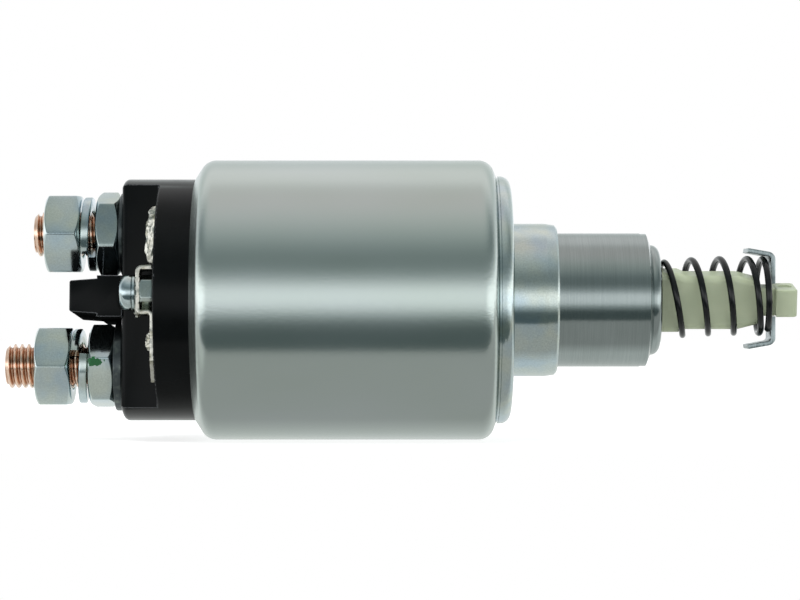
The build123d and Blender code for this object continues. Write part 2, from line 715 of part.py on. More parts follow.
def contact_return_spring():
    """The spring in the floor of the cap that pushes the pin and the bridge back."""
    return coil_spring(spring_pocket_floor_x, clip_rear_x, SWITCH_SPRING_R, SWITCH_SPRING_WIRE,
                       SWITCH_SPRING_TURNS)


def cap_turned(solid):
    """A piece of the cap group, turned about the axis as the cap lies."""
    return Rot(CAP_TURN, 0, 0) * solid


def stud_place(side):
    """The (y, z) place of a stud's axis: side is 1 for the upper stud and -1 for the lower."""
    turn = radians(CAP_TURN)
    return (-side * stud_z * sin(turn), side * stud_z * cos(turn))


def barrier_rib():
    """The wall between the two studs: a wider root and a drafted blade."""
    root_x = platform_x - RIB_ROOT_HEIGHT
    tip_x = platform_x - RIB_HEIGHT
    rib = flat_bar([
        (platform_x, rib_root_width / 2),
        (root_x, rib_root_width / 2),
        (root_x, rib_width / 2),
        (tip_x, rib_tip_width / 2),
        (tip_x, -rib_tip_width / 2),
        (root_x, -rib_width / 2),
        (root_x, -rib_root_width / 2),
        (platform_x, -rib_root_width / 2),
    ], RIB_BACK_Y - platform_flat_y)
    rib = Pos(0, (RIB_BACK_Y + platform_flat_y) / 2, 0) * rib
    tip_face = rib.faces().sort_by(Axis.X)[0]
    return fillet(tip_face.edges(), min(RIB_EDGE_R, rib_tip_width / 3))


def switch_cap():
    """The cap: shoulder under the rolled lip, shelf, D-shaped platform, rib and inner cavity."""
    shoulder_r = can_recess_r - SLIDE_FIT
    cap = turned([
        (cap_front_x, cap_cavity_r),
        (cap_front_x, shoulder_r),
        (lip_inner_x, shoulder_r),
        (lip_inner_x, cap_r),
        (platform_x, cap_r),
        (platform_x, 0),
        (spring_pocket_floor_x, 0),
        (spring_pocket_floor_x, SWITCH_SPRING_R + LOOSE_FIT),
        (cavity_floor_x, SWITCH_SPRING_R + LOOSE_FIT),
        (cavity_floor_x, cap_cavity_r),
    ])
    shelf_depth = cap_r + platform_flat_y
    cut_face = Pos(platform_flat_y - shelf_depth / 2, 0) * Rectangle(shelf_depth, 2 * cap_r)
    cap = cap - extrude(across(platform_x) * cut_face, PLATFORM_HEIGHT)
    front_face = cap.faces().filter_by(Axis.X).sort_by(Axis.X)[0]
    cap = fillet(front_face.edges(), PLATFORM_EDGE_R)
    cap = fillet(rims(cap, shelf_x, cap_r), SHELF_EDGE_R)
    cap = cap + barrier_rib()
    for side in (1, -1):
        cap = cap - tube(platform_x, cavity_floor_x, STUD_R + SLIDE_FIT, 0, 0, side * stud_z)
    screw_end_x = shelf_x + CONTROL_SCREW_BITE
    cap = cap - tube(shelf_x, screw_end_x, CONTROL_SCREW_R + PRESS_FIT, 0, control_y, 0)
    for lead_place in (upper_lead, lower_lead):
        cap = cap - tube(shelf_x, cap_front_x, LEAD_R + LOOSE_FIT, 0, *lead_place)
    return cap_turned(cap)


def terminal_stud(side, height):
    """A copper stud with its contact head inside the cap and a chamfered free end."""
    end_x = platform_x - height
    stud = turned([
        (stud_contact_x, 0),
        (stud_contact_x, stud_head_r),
        (cavity_floor_x, stud_head_r),
        (cavity_floor_x, STUD_R),
        (end_x + STUD_CHAMFER, STUD_R),
        (end_x, STUD_R - STUD_CHAMFER),
        (end_x, 0),
    ])
    y, z = stud_place(side)
    return Pos(0, y, z) * stud


def stud_washer(side, radius, thickness):
    """The flat washer between the platform and the lock nut."""
    y, z = stud_place(side)
    return tube(platform_x - thickness, platform_x, radius, STUD_R + SLIDE_FIT, y, z)


def hex_nut(x_high, thickness, flats, face_inset, bore_r, place, turn):
    """A hexagon nut with both faces chamfered. turn 0 puts a corner towards -Y."""
    y, z = place
    corner_r = flats / 2 / cos(radians(30))
    face_r = flats / 2 - face_inset
    bevel = (corner_r - face_r) * tan(radians(NUT_CHAMFER_ANGLE))
    x_low = x_high - thickness
    hexagon = RegularPolygon(flats / 2, 6, major_radius=False, rotation=180 - turn)
    prism = extrude(across(x_low) * hexagon, thickness)
    envelope = turned([
        (x_low, bore_r),
        (x_low, face_r),
        (x_low + bevel, corner_r),
        (x_high - bevel, corner_r),
        (x_high, face_r),
        (x_high, bore_r),
    ])
    return Pos(0, y, z) * (prism & envelope)


def stud_nut(side, x_high, thickness, turn):
    """A nut of the terminal studs."""
    return hex_nut(x_high, thickness, NUT_FLATS, NUT_FACE_INSET, STUD_R + SLIDE_FIT, stud_place(side), turn)


def spring_washer(side, x_high, height, split_turn):
    """A split washer, sprung open along a left-hand helix. split_turn 0 puts the split at -Y."""
    bore_r = STUD_R + LOOSE_FIT
    width = SPRING_WASHER_R - bore_r
    mean_r = (SPRING_WASHER_R + bore_r) / 2
    rise = height - SPRING_WASHER_THICKNESS
    path = Edge.make_helix(pitch=rise / SPRING_WASHER_SWEEP, height=rise, radius=mean_r, lefthand=True)
    section = Plane(origin=path @ 0, x_dir=(1, 0, 0), z_dir=path % 0)
    ring = sweep(section * Rectangle(width, SPRING_WASHER_THICKNESS), path=path, is_frenet=True)
    y, z = stud_place(side)
    low_x = x_high - height + SPRING_WASHER_THICKNESS / 2
    upright = Plane(origin=(low_x, y, z), x_dir=(0, -1, 0), z_dir=(1, 0, 0))
    half_gap = 180 * (1 - SPRING_WASHER_SWEEP)
    return upright * (Rot(0, 0, -split_turn - half_gap) * ring)


def control_place():
    """The (y, z) place of the control screw's axis."""
    turn = radians(CAP_TURN)
    return (control_y * cos(turn), control_y * sin(turn))


def control_nut():
    """The small nut under the strap, seated on the shelf."""
    return hex_nut(shelf_x, CONTROL_NUT_THICKNESS, CONTROL_NUT_FLATS, CONTROL_NUT_FACE_INSET,
                   CONTROL_SCREW_R + PRESS_FIT, control_place(), 90 + CAP_TURN)


def control_strap():
    """The tinned strip under the screw head, bent down to run along the shelf at both ends."""
    top_x = shelf_x - CONTROL_NUT_THICKNESS - STRAP_SHEET / 2
    low_x = shelf_x - STRAP_SHEET / 2
    path = FilletPolyline(
        (low_x, STRAP_TOP_REACH), (top_x, STRAP_TOP_REACH), (top_x, -STRAP_DROP),
        (low_x, -STRAP_DROP), (low_x, -STRAP_TAIL_REACH), radius=STRAP_BEND_R)
    strip = extrude(Plane.XZ * trace(path, STRAP_SHEET), STRAP_WIDTH / 2, both=True)
    strip = Pos(0, control_y, 0) * strip
    hole = tube(top_x - STRAP_SHEET, top_x + STRAP_SHEET, CONTROL_SCREW_R + SLIDE_FIT, 0, control_y, 0)
    inside_cap = tube(platform_x, cavity_floor_x, cap_r - STRAP_SHEET)
    return cap_turned((strip & inside_cap) - hole)


def control_washer():
    """The plain washer under the screw head."""
    y, z = control_place()
    x_high = shelf_x - CONTROL_NUT_THICKNESS - STRAP_SHEET
    x_low = x_high - CONTROL_WASHER_THICKNESS
    return tube(x_low, x_high, CONTROL_WASHER_R, CONTROL_SCREW_R + SLIDE_FIT, y, z)


def control_screw():
    """The pan-head screw of the control terminal."""
    head_base_x = shelf_x - CONTROL_NUT_THICKNESS - STRAP_SHEET - CONTROL_WASHER_THICKNESS
    head_top_x = head_base_x - CONTROL_HEAD_THICKNESS
    screw = turned([
        (head_top_x, 0),
        (head_top_x, CONTROL_HEAD_R),
        (head_base_x, CONTROL_HEAD_R),
        (head_base_x, CONTROL_SCREW_R),
        (shelf_x + CONTROL_SCREW_BITE, CONTROL_SCREW_R),
        (shelf_x + CONTROL_SCREW_BITE, 0),
    ])
    screw = fillet(rims(screw, head_top_x, CONTROL_HEAD_R), CONTROL_HEAD_CROWN_R)
    y, z = control_place()
    return Pos(0, y, z) * screw


def winding_lead(place, end_x):
    """A winding lead, straight from the bobbin through the core and the cap."""
    lead = tube(end_x, core_flange_front_x + BOBBIN_FLANGE_THICKNESS, LEAD_R, 0, *place)
    return cap_turned(lead)


def solder_lug(place, length, width, height, base_x):
    """A soldered lug over the end of a lead: a low rounded hump."""
    plan = SlotOverall(length, width, rotation=90)
    lug = extrude(across(base_x - height, *place) * plan, height)
    top_face = lug.faces().sort_by(Axis.X)[0]
    return fillet(top_face.edges(), LUG_EDGE_R)


def upper_solder_lug():
    """The long lug above the control terminal."""
    lug = solder_lug(upper_lead, UPPER_LUG_LENGTH, UPPER_LUG_WIDTH, UPPER_LUG_HEIGHT, shelf_x)
    hole = tube(shelf_x - UPPER_LUG_HEIGHT / 2, shelf_x, LEAD_R + PRESS_FIT, 0, *upper_lead)
    return cap_turned(lug - hole)


def lower_solder_lug():
    """The small lug on the tail of the strap."""
    base_x = shelf_x - STRAP_SHEET
    return cap_turned(solder_lug(lower_lead, LOWER_LUG_LENGTH, LOWER_LUG_WIDTH, LOWER_LUG_HEIGHT, base_x))


def stud_stack(side, names, washer, lock_nut, spring_height, height, turns):
    """The stud and what is threaded on it, from the platform outwards, as named pieces."""
    washer_r, washer_thickness = washer
    lock_thickness, lock_turn = lock_nut
    nut_turn, split_turn = turns
    lock_x = platform_x - washer_thickness
    spring_x = lock_x - lock_thickness
    nut_x = spring_x - spring_height
    solids = [
        terminal_stud(side, height),
        stud_washer(side, washer_r, washer_thickness),
        stud_nut(side, lock_x, lock_thickness, lock_turn),
        spring_washer(side, spring_x, spring_height, split_turn),
        stud_nut(side, nut_x, NUT_THICKNESS, nut_turn),
    ]
    return dict(zip(names, solids))


pieces = {
    "housing_can": housing_can(),
    "front_plate": front_plate(),
    "guide_tube": guide_tube(),
    "coil_bobbin": coil_bobbin(),
    "pull_in_winding": pull_in_winding(),
    "hold_in_winding": hold_in_winding(),
    "fixed_core": fixed_core(),
    "cap_gasket": cap_gasket(),
    "plunger": plunger(),
    "plunger_plug": plunger_plug(),
    "return_spring": return_spring(),
    "pull_rod": pull_rod(),
    "rod_stop_washer": rod_stop_washer(),
    "rod_circlip": rod_circlip(),
    "spring_retainer": spring_retainer(),
    "lost_motion_spring": lost_motion_spring(),
    "switch_pin": switch_pin(),
    "contact_bridge": contact_bridge(),
    "bridge_bush": bridge_bush(),
    "bridge_rear_washer": bridge_rear_washer(),
    "pin_clip": pin_clip(),
    "contact_pressure_spring": contact_pressure_spring(),
    "contact_return_spring": contact_return_spring(),
    "switch_cap": switch_cap(),
    "control_nut": control_nut(),
    "control_strap": control_strap(),
    "control_washer": control_washer(),
    "control_screw": control_screw(),
    "upper_winding_lead": winding_lead(upper_lead, shelf_x - UPPER_LUG_HEIGHT / 2),
    "lower_winding_lead": winding_lead(lower_lead, shelf_x),
    "upper_solder_lug": upper_solder_lug(),
    "lower_solder_lug": lower_solder_lug(),
}
pieces.update(stud_stack(
    1, ["upper_stud", "upper_washer", "upper_lock_nut", "upper_spring_washer", "upper_nut"],
    (UPPER_WASHER_R, UPPER_WASHER_THICKNESS), (UPPER_LOCK_NUT_THICKNESS, UPPER_LOCK_NUT_TURN),
    UPPER_SPRING_WASHER_HEIGHT, UPPER_STUD_HEIGHT, (UPPER_NUT_TURN, UPPER_SPLIT_TURN)))
pieces.update(stud_stack(
    -1, ["lower_stud", "lower_washer", "lower_lock_nut", "lower_spring_washer", "lower_nut"],
    (LOWER_WASHER_R, LOWER_WASHER_THICKNESS), (LOWER_LOCK_NUT_THICKNESS, LOWER_LOCK_NUT_TURN),
    LOWER_SPRING_WASHER_HEIGHT, LOWER_STUD_HEIGHT, (LOWER_NUT_TURN, LOWER_SPLIT_TURN)))

os.makedirs("parts", exist_ok=True)
for name, solid in pieces.items():
    solid.label = name
    export_step(solid, f"parts/{name}.step")
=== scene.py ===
import json
from math import ceil, cos, pi, radians, sin, tan

import bmesh
import bpy
from bpy.props import FloatProperty, FloatVectorProperty, PointerProperty
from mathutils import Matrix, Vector, noise

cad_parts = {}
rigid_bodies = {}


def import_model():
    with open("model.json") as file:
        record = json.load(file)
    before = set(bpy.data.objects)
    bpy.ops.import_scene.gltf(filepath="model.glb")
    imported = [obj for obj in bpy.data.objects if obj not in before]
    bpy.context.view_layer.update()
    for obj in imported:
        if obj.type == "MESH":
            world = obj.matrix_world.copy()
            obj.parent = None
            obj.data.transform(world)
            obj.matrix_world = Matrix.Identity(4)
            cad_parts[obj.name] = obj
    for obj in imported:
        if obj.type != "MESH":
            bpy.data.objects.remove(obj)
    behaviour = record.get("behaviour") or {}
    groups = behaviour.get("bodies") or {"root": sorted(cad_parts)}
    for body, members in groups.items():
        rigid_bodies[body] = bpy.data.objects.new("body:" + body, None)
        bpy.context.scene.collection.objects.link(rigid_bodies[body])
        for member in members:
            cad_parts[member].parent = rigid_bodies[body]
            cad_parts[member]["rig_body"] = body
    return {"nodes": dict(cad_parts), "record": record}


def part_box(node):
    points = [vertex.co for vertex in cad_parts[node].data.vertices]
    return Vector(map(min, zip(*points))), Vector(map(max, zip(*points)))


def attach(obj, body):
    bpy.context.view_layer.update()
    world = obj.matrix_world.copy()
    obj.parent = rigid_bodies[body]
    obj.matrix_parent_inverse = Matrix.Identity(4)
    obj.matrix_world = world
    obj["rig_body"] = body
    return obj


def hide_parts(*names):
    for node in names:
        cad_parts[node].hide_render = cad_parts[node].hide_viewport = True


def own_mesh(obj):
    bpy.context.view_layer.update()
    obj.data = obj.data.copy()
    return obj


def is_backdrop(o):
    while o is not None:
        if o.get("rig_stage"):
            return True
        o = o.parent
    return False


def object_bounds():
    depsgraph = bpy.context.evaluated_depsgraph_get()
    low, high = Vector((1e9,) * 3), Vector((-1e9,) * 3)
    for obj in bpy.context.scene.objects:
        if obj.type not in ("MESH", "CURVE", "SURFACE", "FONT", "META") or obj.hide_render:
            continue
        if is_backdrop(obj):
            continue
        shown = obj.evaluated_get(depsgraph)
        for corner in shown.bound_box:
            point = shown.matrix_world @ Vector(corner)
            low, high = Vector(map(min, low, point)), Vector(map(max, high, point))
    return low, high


bl_info = {
    "name": "Starter solenoid",
    "version": (1, 0, 0),
    "blender": (4, 5, 0),
    "location": "3D View > Sidebar > Solenoid",
    "description": "Dresses the solid model of a starter solenoid with its finished surfaces",
    "category": "Object",
}

# +X runs along the axis towards the tip of the pull rod, +Z is up, and the control terminal faces -Y.
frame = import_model()
cad_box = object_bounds()
slots = {subpart["node"]: subpart["material_slot"] for subpart in frame["record"]["subparts"]}

MM = 0.001
WHOLE_TURN = 2 * pi

# Steps round a turned piece, round a flat washer and along a rounded corner
TURNED_STEPS = 96
WASHER_STEPS = 128
CORNER_STEPS = 5

# How far a closed turn of a spring climbs, in widths of its wire
CLOSED_RISE = 1.06

# Edges that turn by more than this are broken; a nut's chamfers meet its sides more gently
EDGE_LIMIT = radians(28)
NUT_EDGE_LIMIT = radians(18)

# How bright the room is that metal reflects, and what the lamps at its sides add
ROOM_PEAK = 1.5
SIDE_LAMP = 0.55

# The plain light of the room on surfaces that don't mirror it, and what the camera sees of the room
ROOM_GREY = (0.62, 0.64, 0.64)
WHITE = (1, 1, 1)

# To the camera, how bright the floor's lit paper is, and the share of it that is plain white
FLOOR_GAIN = 2.4
FLOOR_GLOW = 0.78

# Places of the sockets on a Mix node set to colours
MIX_FACTOR = 0
MIX_A = 6
MIX_B = 7
MIX_RESULT = 2


def centre_of(node):
    """The (y, z) place of the axis of a node that is round about a line along X."""
    low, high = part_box(node)
    return (low.y + high.y) / 2, (low.z + high.z) / 2


def span_of(node):
    """The lowest and highest X of a node."""
    low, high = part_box(node)
    return low.x, high.x


def radius_of(node):
    """The outer radius of a round node."""
    low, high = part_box(node)
    return (high.z - low.z) / 2


def linear(hex_colour):
    """The linear colour of an sRGB hex value."""
    parts = [int(hex_colour[place:place + 2], 16) / 255 for place in (1, 3, 5)]
    return [part / 12.92 if part <= 0.04045 else ((part + 0.055) / 1.055) ** 2.4 for part in parts]


def colour(title, says, hex_colour):
    """A colour property with this sRGB default."""
    return FloatVectorProperty(
        name=title, description=says, subtype="COLOR", size=3, min=0, max=1, default=linear(hex_colour))


def number(title, says, default, **more):
    """A plain number property, or one with a unit or subtype."""
    return FloatProperty(name=title, description=says, default=default, **more)


def length(title, says, default_mm):
    """A length property whose default is given in millimetres."""
    return number(title, says, default_mm * MM, unit="LENGTH", precision=5)


def angle(title, says, default_degrees):
    """An angle property whose default is given in degrees."""
    return number(title, says, radians(default_degrees), subtype="ANGLE")


class SpringSizes(bpy.types.PropertyGroup):
    """Sizes of the wound springs."""
    lost_turns: number("Lost-motion turns", "Turns of the visible spring", 7.41)
    lost_wire: length("Lost-motion wire", "Wire diameter of the visible spring", 1.45)
    lost_crest: length("Crest place", "Place along the axis of a crest on the top side", 47.2)
    lost_radius: length("Lost-motion radius", "Outer radius of the visible spring", 9.0)
    lost_bow: length("Bow", "How far the visible spring bows upwards", 0.95)
    bow_top: length("Bow place", "Place along the axis of the top of the bow", 51.3)
    bow_radius: length("Bow radius", "Radius of the bow", 172)
    return_turns: number("Return turns", "Turns of the return spring", 6.5)
    return_wire: length("Return wire", "Wire diameter of the return spring", 1.3)
    pressure_turns: number("Pressure turns", "Turns of the pressure spring", 4.0)
    pressure_wire: length("Pressure wire", "Wire diameter of the pressure spring", 1.1)
    switch_turns: number("Switch turns", "Turns of the switch spring", 5.5)
    switch_wire: length("Switch wire", "Wire diameter of the switch spring", 0.9)


class FastenerSizes(bpy.types.PropertyGroup):
    """Sizes of the studs, nuts and washers."""
    thread_pitch: length("Thread pitch", "Pitch of the M10 thread on the studs", 1.5)
    thread_depth: length("Thread depth", "Depth of that thread", 0.85)
    stud_radius: length("Stud radius", "Radius over the crests of the thread", 4.95)
    stud_chamfer: length("Stud chamfer", "Chamfer at the free end of a stud", 0.95)
    nut_flats: length("Nut flats", "Distance across the flats of the M10 nuts", 17.0)
    nut_face: length("Nut face", "Radius of the flat ring on the faces of the M10 nuts", 8.05)
    nut_corner: length("Nut corner", "Rounding of the corners of the nuts", 0.45)
    nut_edge: length("Nut edge", "Softening of the edges of the nuts", 0.14)
    lock_turn_upper: angle("Upper lock nut turn", "How far the upper lock nut is turned", 43.4)
    lock_turn_lower: angle("Lower lock nut turn", "How far the lower lock nut is turned", 11.6)
    small_turn: angle("Small nut turn", "How far the small nut is turned", 44.0)
    washer_edge: length("Washer edge", "Rounding of the edges of the flat washers", 0.3)
    split_upper: angle("Upper split", "Height of the upper washer's split, from -Y", -36.0)
    split_lower: angle("Lower split", "Height of the lower washer's split, from -Y", 24.0)
    spring_washer_bar: length("Spring washer bar", "Thickness of the bar of the spring washers", 1.8)
    control_flats: length("Small nut flats", "Distance across the flats of the small nut", 7.0)
    control_face: length("Small nut face", "Radius of the flat ring on the small nut", 3.35)
    recess_width: length("Recess width", "Width of a slot of the cross recess", 1.15)
    recess_reach: length("Recess reach", "Length of the cross recess", 4.4)
    recess_depth: length("Recess depth", "Depth of the cross recess", 1.5)
    recess_turn: angle("Recess turn", "How far the cross recess is turned", 32)


class BodySizes(bpy.types.PropertyGroup):
    """Sizes of the turned, moulded and soldered pieces."""
    soft_edge: length("Broken edge", "How far the edges of sheet and machined pieces are broken", 0.12)
    moulded_edge: length("Moulded edge", "How far the edges of moulded pieces are rounded", 0.22)
    solder_lump: length("Solder lumps", "Height of the lumps in the solder", 0.5)
    strap_wave: length("Strap unevenness", "How far the hand-bent strap is out of true", 0.1)


class FinishColours(bpy.types.PropertyGroup):
    """Colours of the finishes."""
    satin_zinc: colour("Satin zinc", "Zinc plate on the drawn can", "#C4CCC8")
    bright_zinc: colour("Bright zinc", "Blue-passivated zinc plate", "#C6D0D1")
    ground_iron: colour("Ground iron", "The ground plunger", "#A5AEAD")
    bare_iron: colour("Bare iron", "Machined soft iron", "#8C9092")
    spring_black: colour("Black oxide", "Oiled black spring wire", "#08090A")
    brass: colour("Brass", "The drawn guide tube", "#C6A462")
    copper: colour("Copper", "The studs and the contact bridge", "#E3B596")
    enamel: colour("Wire enamel", "The enamelled winding wire", "#8E3E20")
    tin: colour("Tin", "Tinned strap and solder", "#CFCDC4")
    dark_steel: colour("Dark steel", "Oxidised washers", "#4A5052")
    phenolic: colour("Phenolic", "The switch cap", "#060707")
    natural_nylon: colour("Natural nylon", "The pull rod", "#A9B398")
    bobbin_nylon: colour("Bobbin nylon", "The coil bobbin", "#D8D2BE")
    laminate: colour("Laminate", "Paper laminate washers", "#7B4E2E")
    rubber: colour("Rubber", "The gasket", "#1A1A1B")
    paint: colour("Marking paint", "The inspection mark on the lower lock nut", "#0A5428")
    floor: colour("Floor", "The pale floor", "#EDECE8")


class StageSettings(bpy.types.PropertyGroup):
    """The camera, the lamps and the floor."""
    camera_distance: length("Camera distance", "From the axis to the camera", 600)
    camera_x: length("Camera place", "Where the camera stands along the axis", -29.03)
    lens: number("Lens", "Focal length in millimetres", 120.4)
    shift: number("Shift", "Sideways shift of the camera", 0.025)
    floor_front: length("Floor front", "Where the floor ends on the camera's side", -52)
    floor_reach: length("Floor reach", "How far the floor goes to the other sides", 1400)
    key_power: number("Key lamp", "Power of the overhead lamp", 6.5, unit="POWER")
    fill_power: number("Fill lamp", "Power of the front lamp", 1.3, unit="POWER")


def add(tree, kind, inputs=None, stops=None, output=0, **settings):
    """Adds a node with its settings, inputs (values or links) and colour stops, and gives one output."""
    node = tree.nodes.new(kind)
    for title, value in settings.items():
        setattr(node, title, value)
    for title, value in (inputs or {}).items():
        if isinstance(value, bpy.types.NodeSocket):
            tree.links.new(value, node.inputs[title])
        else:
            node.inputs[title].default_value = value
    if stops:
        ramp = node.color_ramp
        while len(ramp.elements) < len(stops):
            ramp.elements.new(1.0)
        for element, (place, shade) in zip(ramp.elements, stops):
            element.position = place
            element.color = (*shade, 1)
    return node.outputs[output] if len(node.outputs) else node


def found(tree, kind):
    """The one node of this type in a tree."""
    return next(node for node in tree.nodes if node.type == kind)


# Materials

def new_finish(title):
    """A material with a plain shader, and its tree, its shader node and the object coordinates."""
    material = bpy.data.materials.new(title)
    material.use_nodes = True
    tree = material.node_tree
    tree.nodes.clear()
    shader = add(tree, "ShaderNodeBsdfPrincipled")
    add(tree, "ShaderNodeOutputMaterial", {"Surface": shader})
    position = add(tree, "ShaderNodeTexCoord", output="Object")
    return material, tree, shader.node, position


def patches(tree, position, size_mm, stretch=(1, 1, 1), detail=3.0):
    """A cloudy pattern from 0 to 1 whose patches are about this size, stretched along an axis."""
    squeeze = [1 / share for share in stretch]
    where = add(tree, "ShaderNodeMapping", {"Vector": position, "Scale": squeeze})
    return add(tree, "ShaderNodeTexNoise", {"Vector": where, "Scale": 1 / (size_mm * MM), "Detail": detail})


def between(tree, factor, low, high, start=0.3, end=0.7):
    """A number that goes from low to high as the factor goes from start to end."""
    return add(tree, "ShaderNodeMapRange", {
        "Value": factor, "From Min": start, "From Max": end, "To Min": low, "To Max": high})


def shaded(tree, factor, first, second):
    """A colour that goes from the first to the second with the factor; each is a colour or a socket."""
    first, second = [shade if isinstance(shade, bpy.types.NodeSocket) else (*shade, 1)
                     for shade in (first, second)]
    return add(tree, "ShaderNodeMix", {MIX_FACTOR: factor, MIX_A: first, MIX_B: second},
               output=MIX_RESULT, data_type="RGBA")


def tinted(base, hex_colour, share):
    """The base colour moved towards another by a share."""
    return [a + (b - a) * share for a, b in zip(base, linear(hex_colour))]


def rounded_normal(tree, radius_mm):
    """The normal that the surface would have with its sharp edges rounded by this radius."""
    return add(tree, "ShaderNodeBevel", {"Radius": radius_mm * MM}, samples=6)


def edge_highlight_share(tree, soft_normal):
    """A share that is 1 on an edge, where the rounded normal leaves the surface's own, and 0 elsewhere."""
    on_edge, off_edge = 0.88, 0.985
    facing = add(tree, "ShaderNodeNewGeometry", output="Normal")
    likeness = add(tree, "ShaderNodeVectorMath", {0: soft_normal, 1: facing},
                   output="Value", operation="DOT_PRODUCT")
    return between(tree, likeness, 1, 0, on_edge, off_edge)


def dress(tree, shader, base, roughness, height=None, depth_mm=0.01, soft_normal=None, **constants):
    """Links the colour, roughness and relief to the shader and sets the rest on its own sockets."""
    tree.links.new(base, shader.inputs["Base Color"])
    if isinstance(roughness, bpy.types.NodeSocket):
        tree.links.new(roughness, shader.inputs["Roughness"])
    else:
        shader.inputs["Roughness"].default_value = roughness
    if height:
        relief = {"Height": height, "Distance": depth_mm * MM, "Strength": 1.0}
        if soft_normal:
            relief["Normal"] = soft_normal
        tree.links.new(add(tree, "ShaderNodeBump", relief), shader.inputs["Normal"])
    for title, value in constants.items():
        shader.inputs[title.replace("_", " ")].default_value = value


def total(tree, first, second, share=1.0):
    """The first pattern plus a share of the second."""
    return add(tree, "ShaderNodeMath", {0: second, 1: share, 2: first}, operation="MULTIPLY_ADD")


def satin_zinc_can(colours):
    """Drawn steel, tumbled and zinc plated: a fine grey-green satin with a soft speckle."""
    material, tree, shader, position = new_finish("satin_zinc_can")
    cloud = patches(tree, position, 22, stretch=(2.2, 1, 1), detail=2)
    speckle = patches(tree, position, 0.32, detail=2)
    fine = patches(tree, position, 0.14, stretch=(1, 2.5, 2.5), detail=1)
    base = shaded(tree, between(tree, cloud, 0, 1), tinted(colours.satin_zinc, "#B4C2BA", 0.4),
                  tinted(colours.satin_zinc, "#C8D0D4", 0.4))
    rough = between(tree, cloud, 0.19, 0.23)
    dress(tree, shader, base, rough, total(tree, speckle, fine, 0.6), 0.016, Metallic=1.0)
    return material


def bright_zinc(colours):
    """Blue-passivated zinc on machined steel: bright, with faint blue and straw clouds."""
    material, tree, shader, position = new_finish("bright_zinc")
    cloud = patches(tree, position, 7, detail=2)
    drift = patches(tree, position, 12, stretch=(0.6, 1, 1), detail=1)
    pores = patches(tree, position, 0.35, detail=2)
    tint = shaded(tree, between(tree, cloud, 0, 1, 0.35, 0.65),
                  tinted(colours.bright_zinc, "#A9C2D2", 0.55), tinted(colours.bright_zinc, "#D2D8C2", 0.5))
    base = shaded(tree, between(tree, drift, 0.0, 0.4), tint, colours.bright_zinc)
    grain = between(tree, pores, 0.91, 1.04)
    base = add(tree, "ShaderNodeVectorMath", {0: base, "Scale": grain}, operation="SCALE")
    rough = between(tree, cloud, 0.12, 0.17)
    dress(tree, shader, base, rough, pores, 0.003, rounded_normal(tree, 0.22), Metallic=1.0)
    return material


def dull_zinc(colours):
    """Zinc over rolled spring strip: mid grey and dull, with the marks of the rolls."""
    material, tree, shader, position = new_finish("dull_zinc")
    marks = patches(tree, position, 0.5, stretch=(1, 1, 3), detail=3)
    base = shaded(tree, between(tree, marks, 0, 1), tinted(colours.bright_zinc, "#7E898B", 0.85),
                  tinted(colours.bright_zinc, "#A9B4B5", 0.6))
    dress(tree, shader, base, between(tree, marks, 0.26, 0.38), marks, 0.02, Metallic=1.0)
    return material


def ground_iron(colours):
    """Centreless-ground soft iron: mid grey with fine grinding rings about the axis."""
    material, tree, shader, position = new_finish("ground_iron")
    rings = patches(tree, position, 0.22, stretch=(1, 60, 60), detail=2)
    speckle = patches(tree, position, 0.4, detail=3)
    cloud = patches(tree, position, 9, detail=2)
    base = shaded(tree, between(tree, total(tree, rings, cloud, 0.8), 0, 1, 0.6, 1.2),
                  tinted(colours.ground_iron, "#848D8B", 0.4), colours.ground_iron)
    rough = between(tree, speckle, 0.13, 0.18)
    dress(tree, shader, base, rough, total(tree, speckle, rings, 0.7), 0.005, Metallic=1.0)
    return material


def bare_iron(colours):
    """Turned soft iron, oiled: dull grey with tool rings."""
    material, tree, shader, position = new_finish("bare_iron")
    rings = patches(tree, position, 0.25, stretch=(1, 40, 40), detail=2)
    stain = patches(tree, position, 5, detail=3)
    base = shaded(tree, between(tree, stain, 0, 1),
                  tinted(colours.bare_iron, "#6A6259", 0.4), colours.bare_iron)
    dress(tree, shader, base, between(tree, stain, 0.35, 0.48), rings, 0.012, Metallic=1.0)
    return material


def black_spring_steel(colours):
    """Spring wire, black oxidised and oiled: nearly black with a soft sheen and drawing marks."""
    material, tree, shader, position = new_finish("black_spring_steel")
    marks = patches(tree, position, 0.5, detail=3)
    base = shaded(tree, between(tree, marks, 0, 1), colours.spring_black,
                  tinted(colours.spring_black, "#24282A", 0.3))
    dress(tree, shader, base, between(tree, marks, 0.1, 0.16), marks, 0.006,
          Metallic=0.0, Specular_IOR_Level=0.35)
    return material


def brass_tube(colours):
    """Drawn brass: warm yellow with lines along the tube."""
    material, tree, shader, position = new_finish("brass_tube")
    lines = patches(tree, position, 0.3, stretch=(40, 1, 1), detail=2)
    base = shaded(tree, lines, tinted(colours.brass, "#8D6B35", 0.4), colours.brass)
    dress(tree, shader, base, between(tree, lines, 0.2, 0.34), lines, 0.006, Metallic=1.0)
    return material


def copper(colours):
    """Rolled and pressed copper: pinkish, with a painted highlight on the crests, which are painted paler,
    and brown roots that are partly tarnish and partly painted shade.
    """
    material, tree, shader, position = new_finish("copper")
    tarnish = patches(tree, position, 1.6, detail=3)
    grain = patches(tree, position, 0.25, detail=2)
    crest = add(tree, "ShaderNodeNewGeometry", output="Pointiness")
    # Painted highlight and shade: pointy crests are painted paler, hollow roots darker, partly as tarnish
    # and partly as painted shade.
    painted_highlight_and_tarnish = between(tree, total(tree, crest, tarnish, -0.06), 0, 1, 0.44, 0.5)
    base = shaded(tree, painted_highlight_and_tarnish,
                  tinted(colours.copper, "#7A4A2A", 0.55), tinted(colours.copper, "#FBE4D4", 0.6))
    dress(tree, shader, base, between(tree, tarnish, 0.08, 0.2), grain, 0.006, Metallic=1.0)
    return material


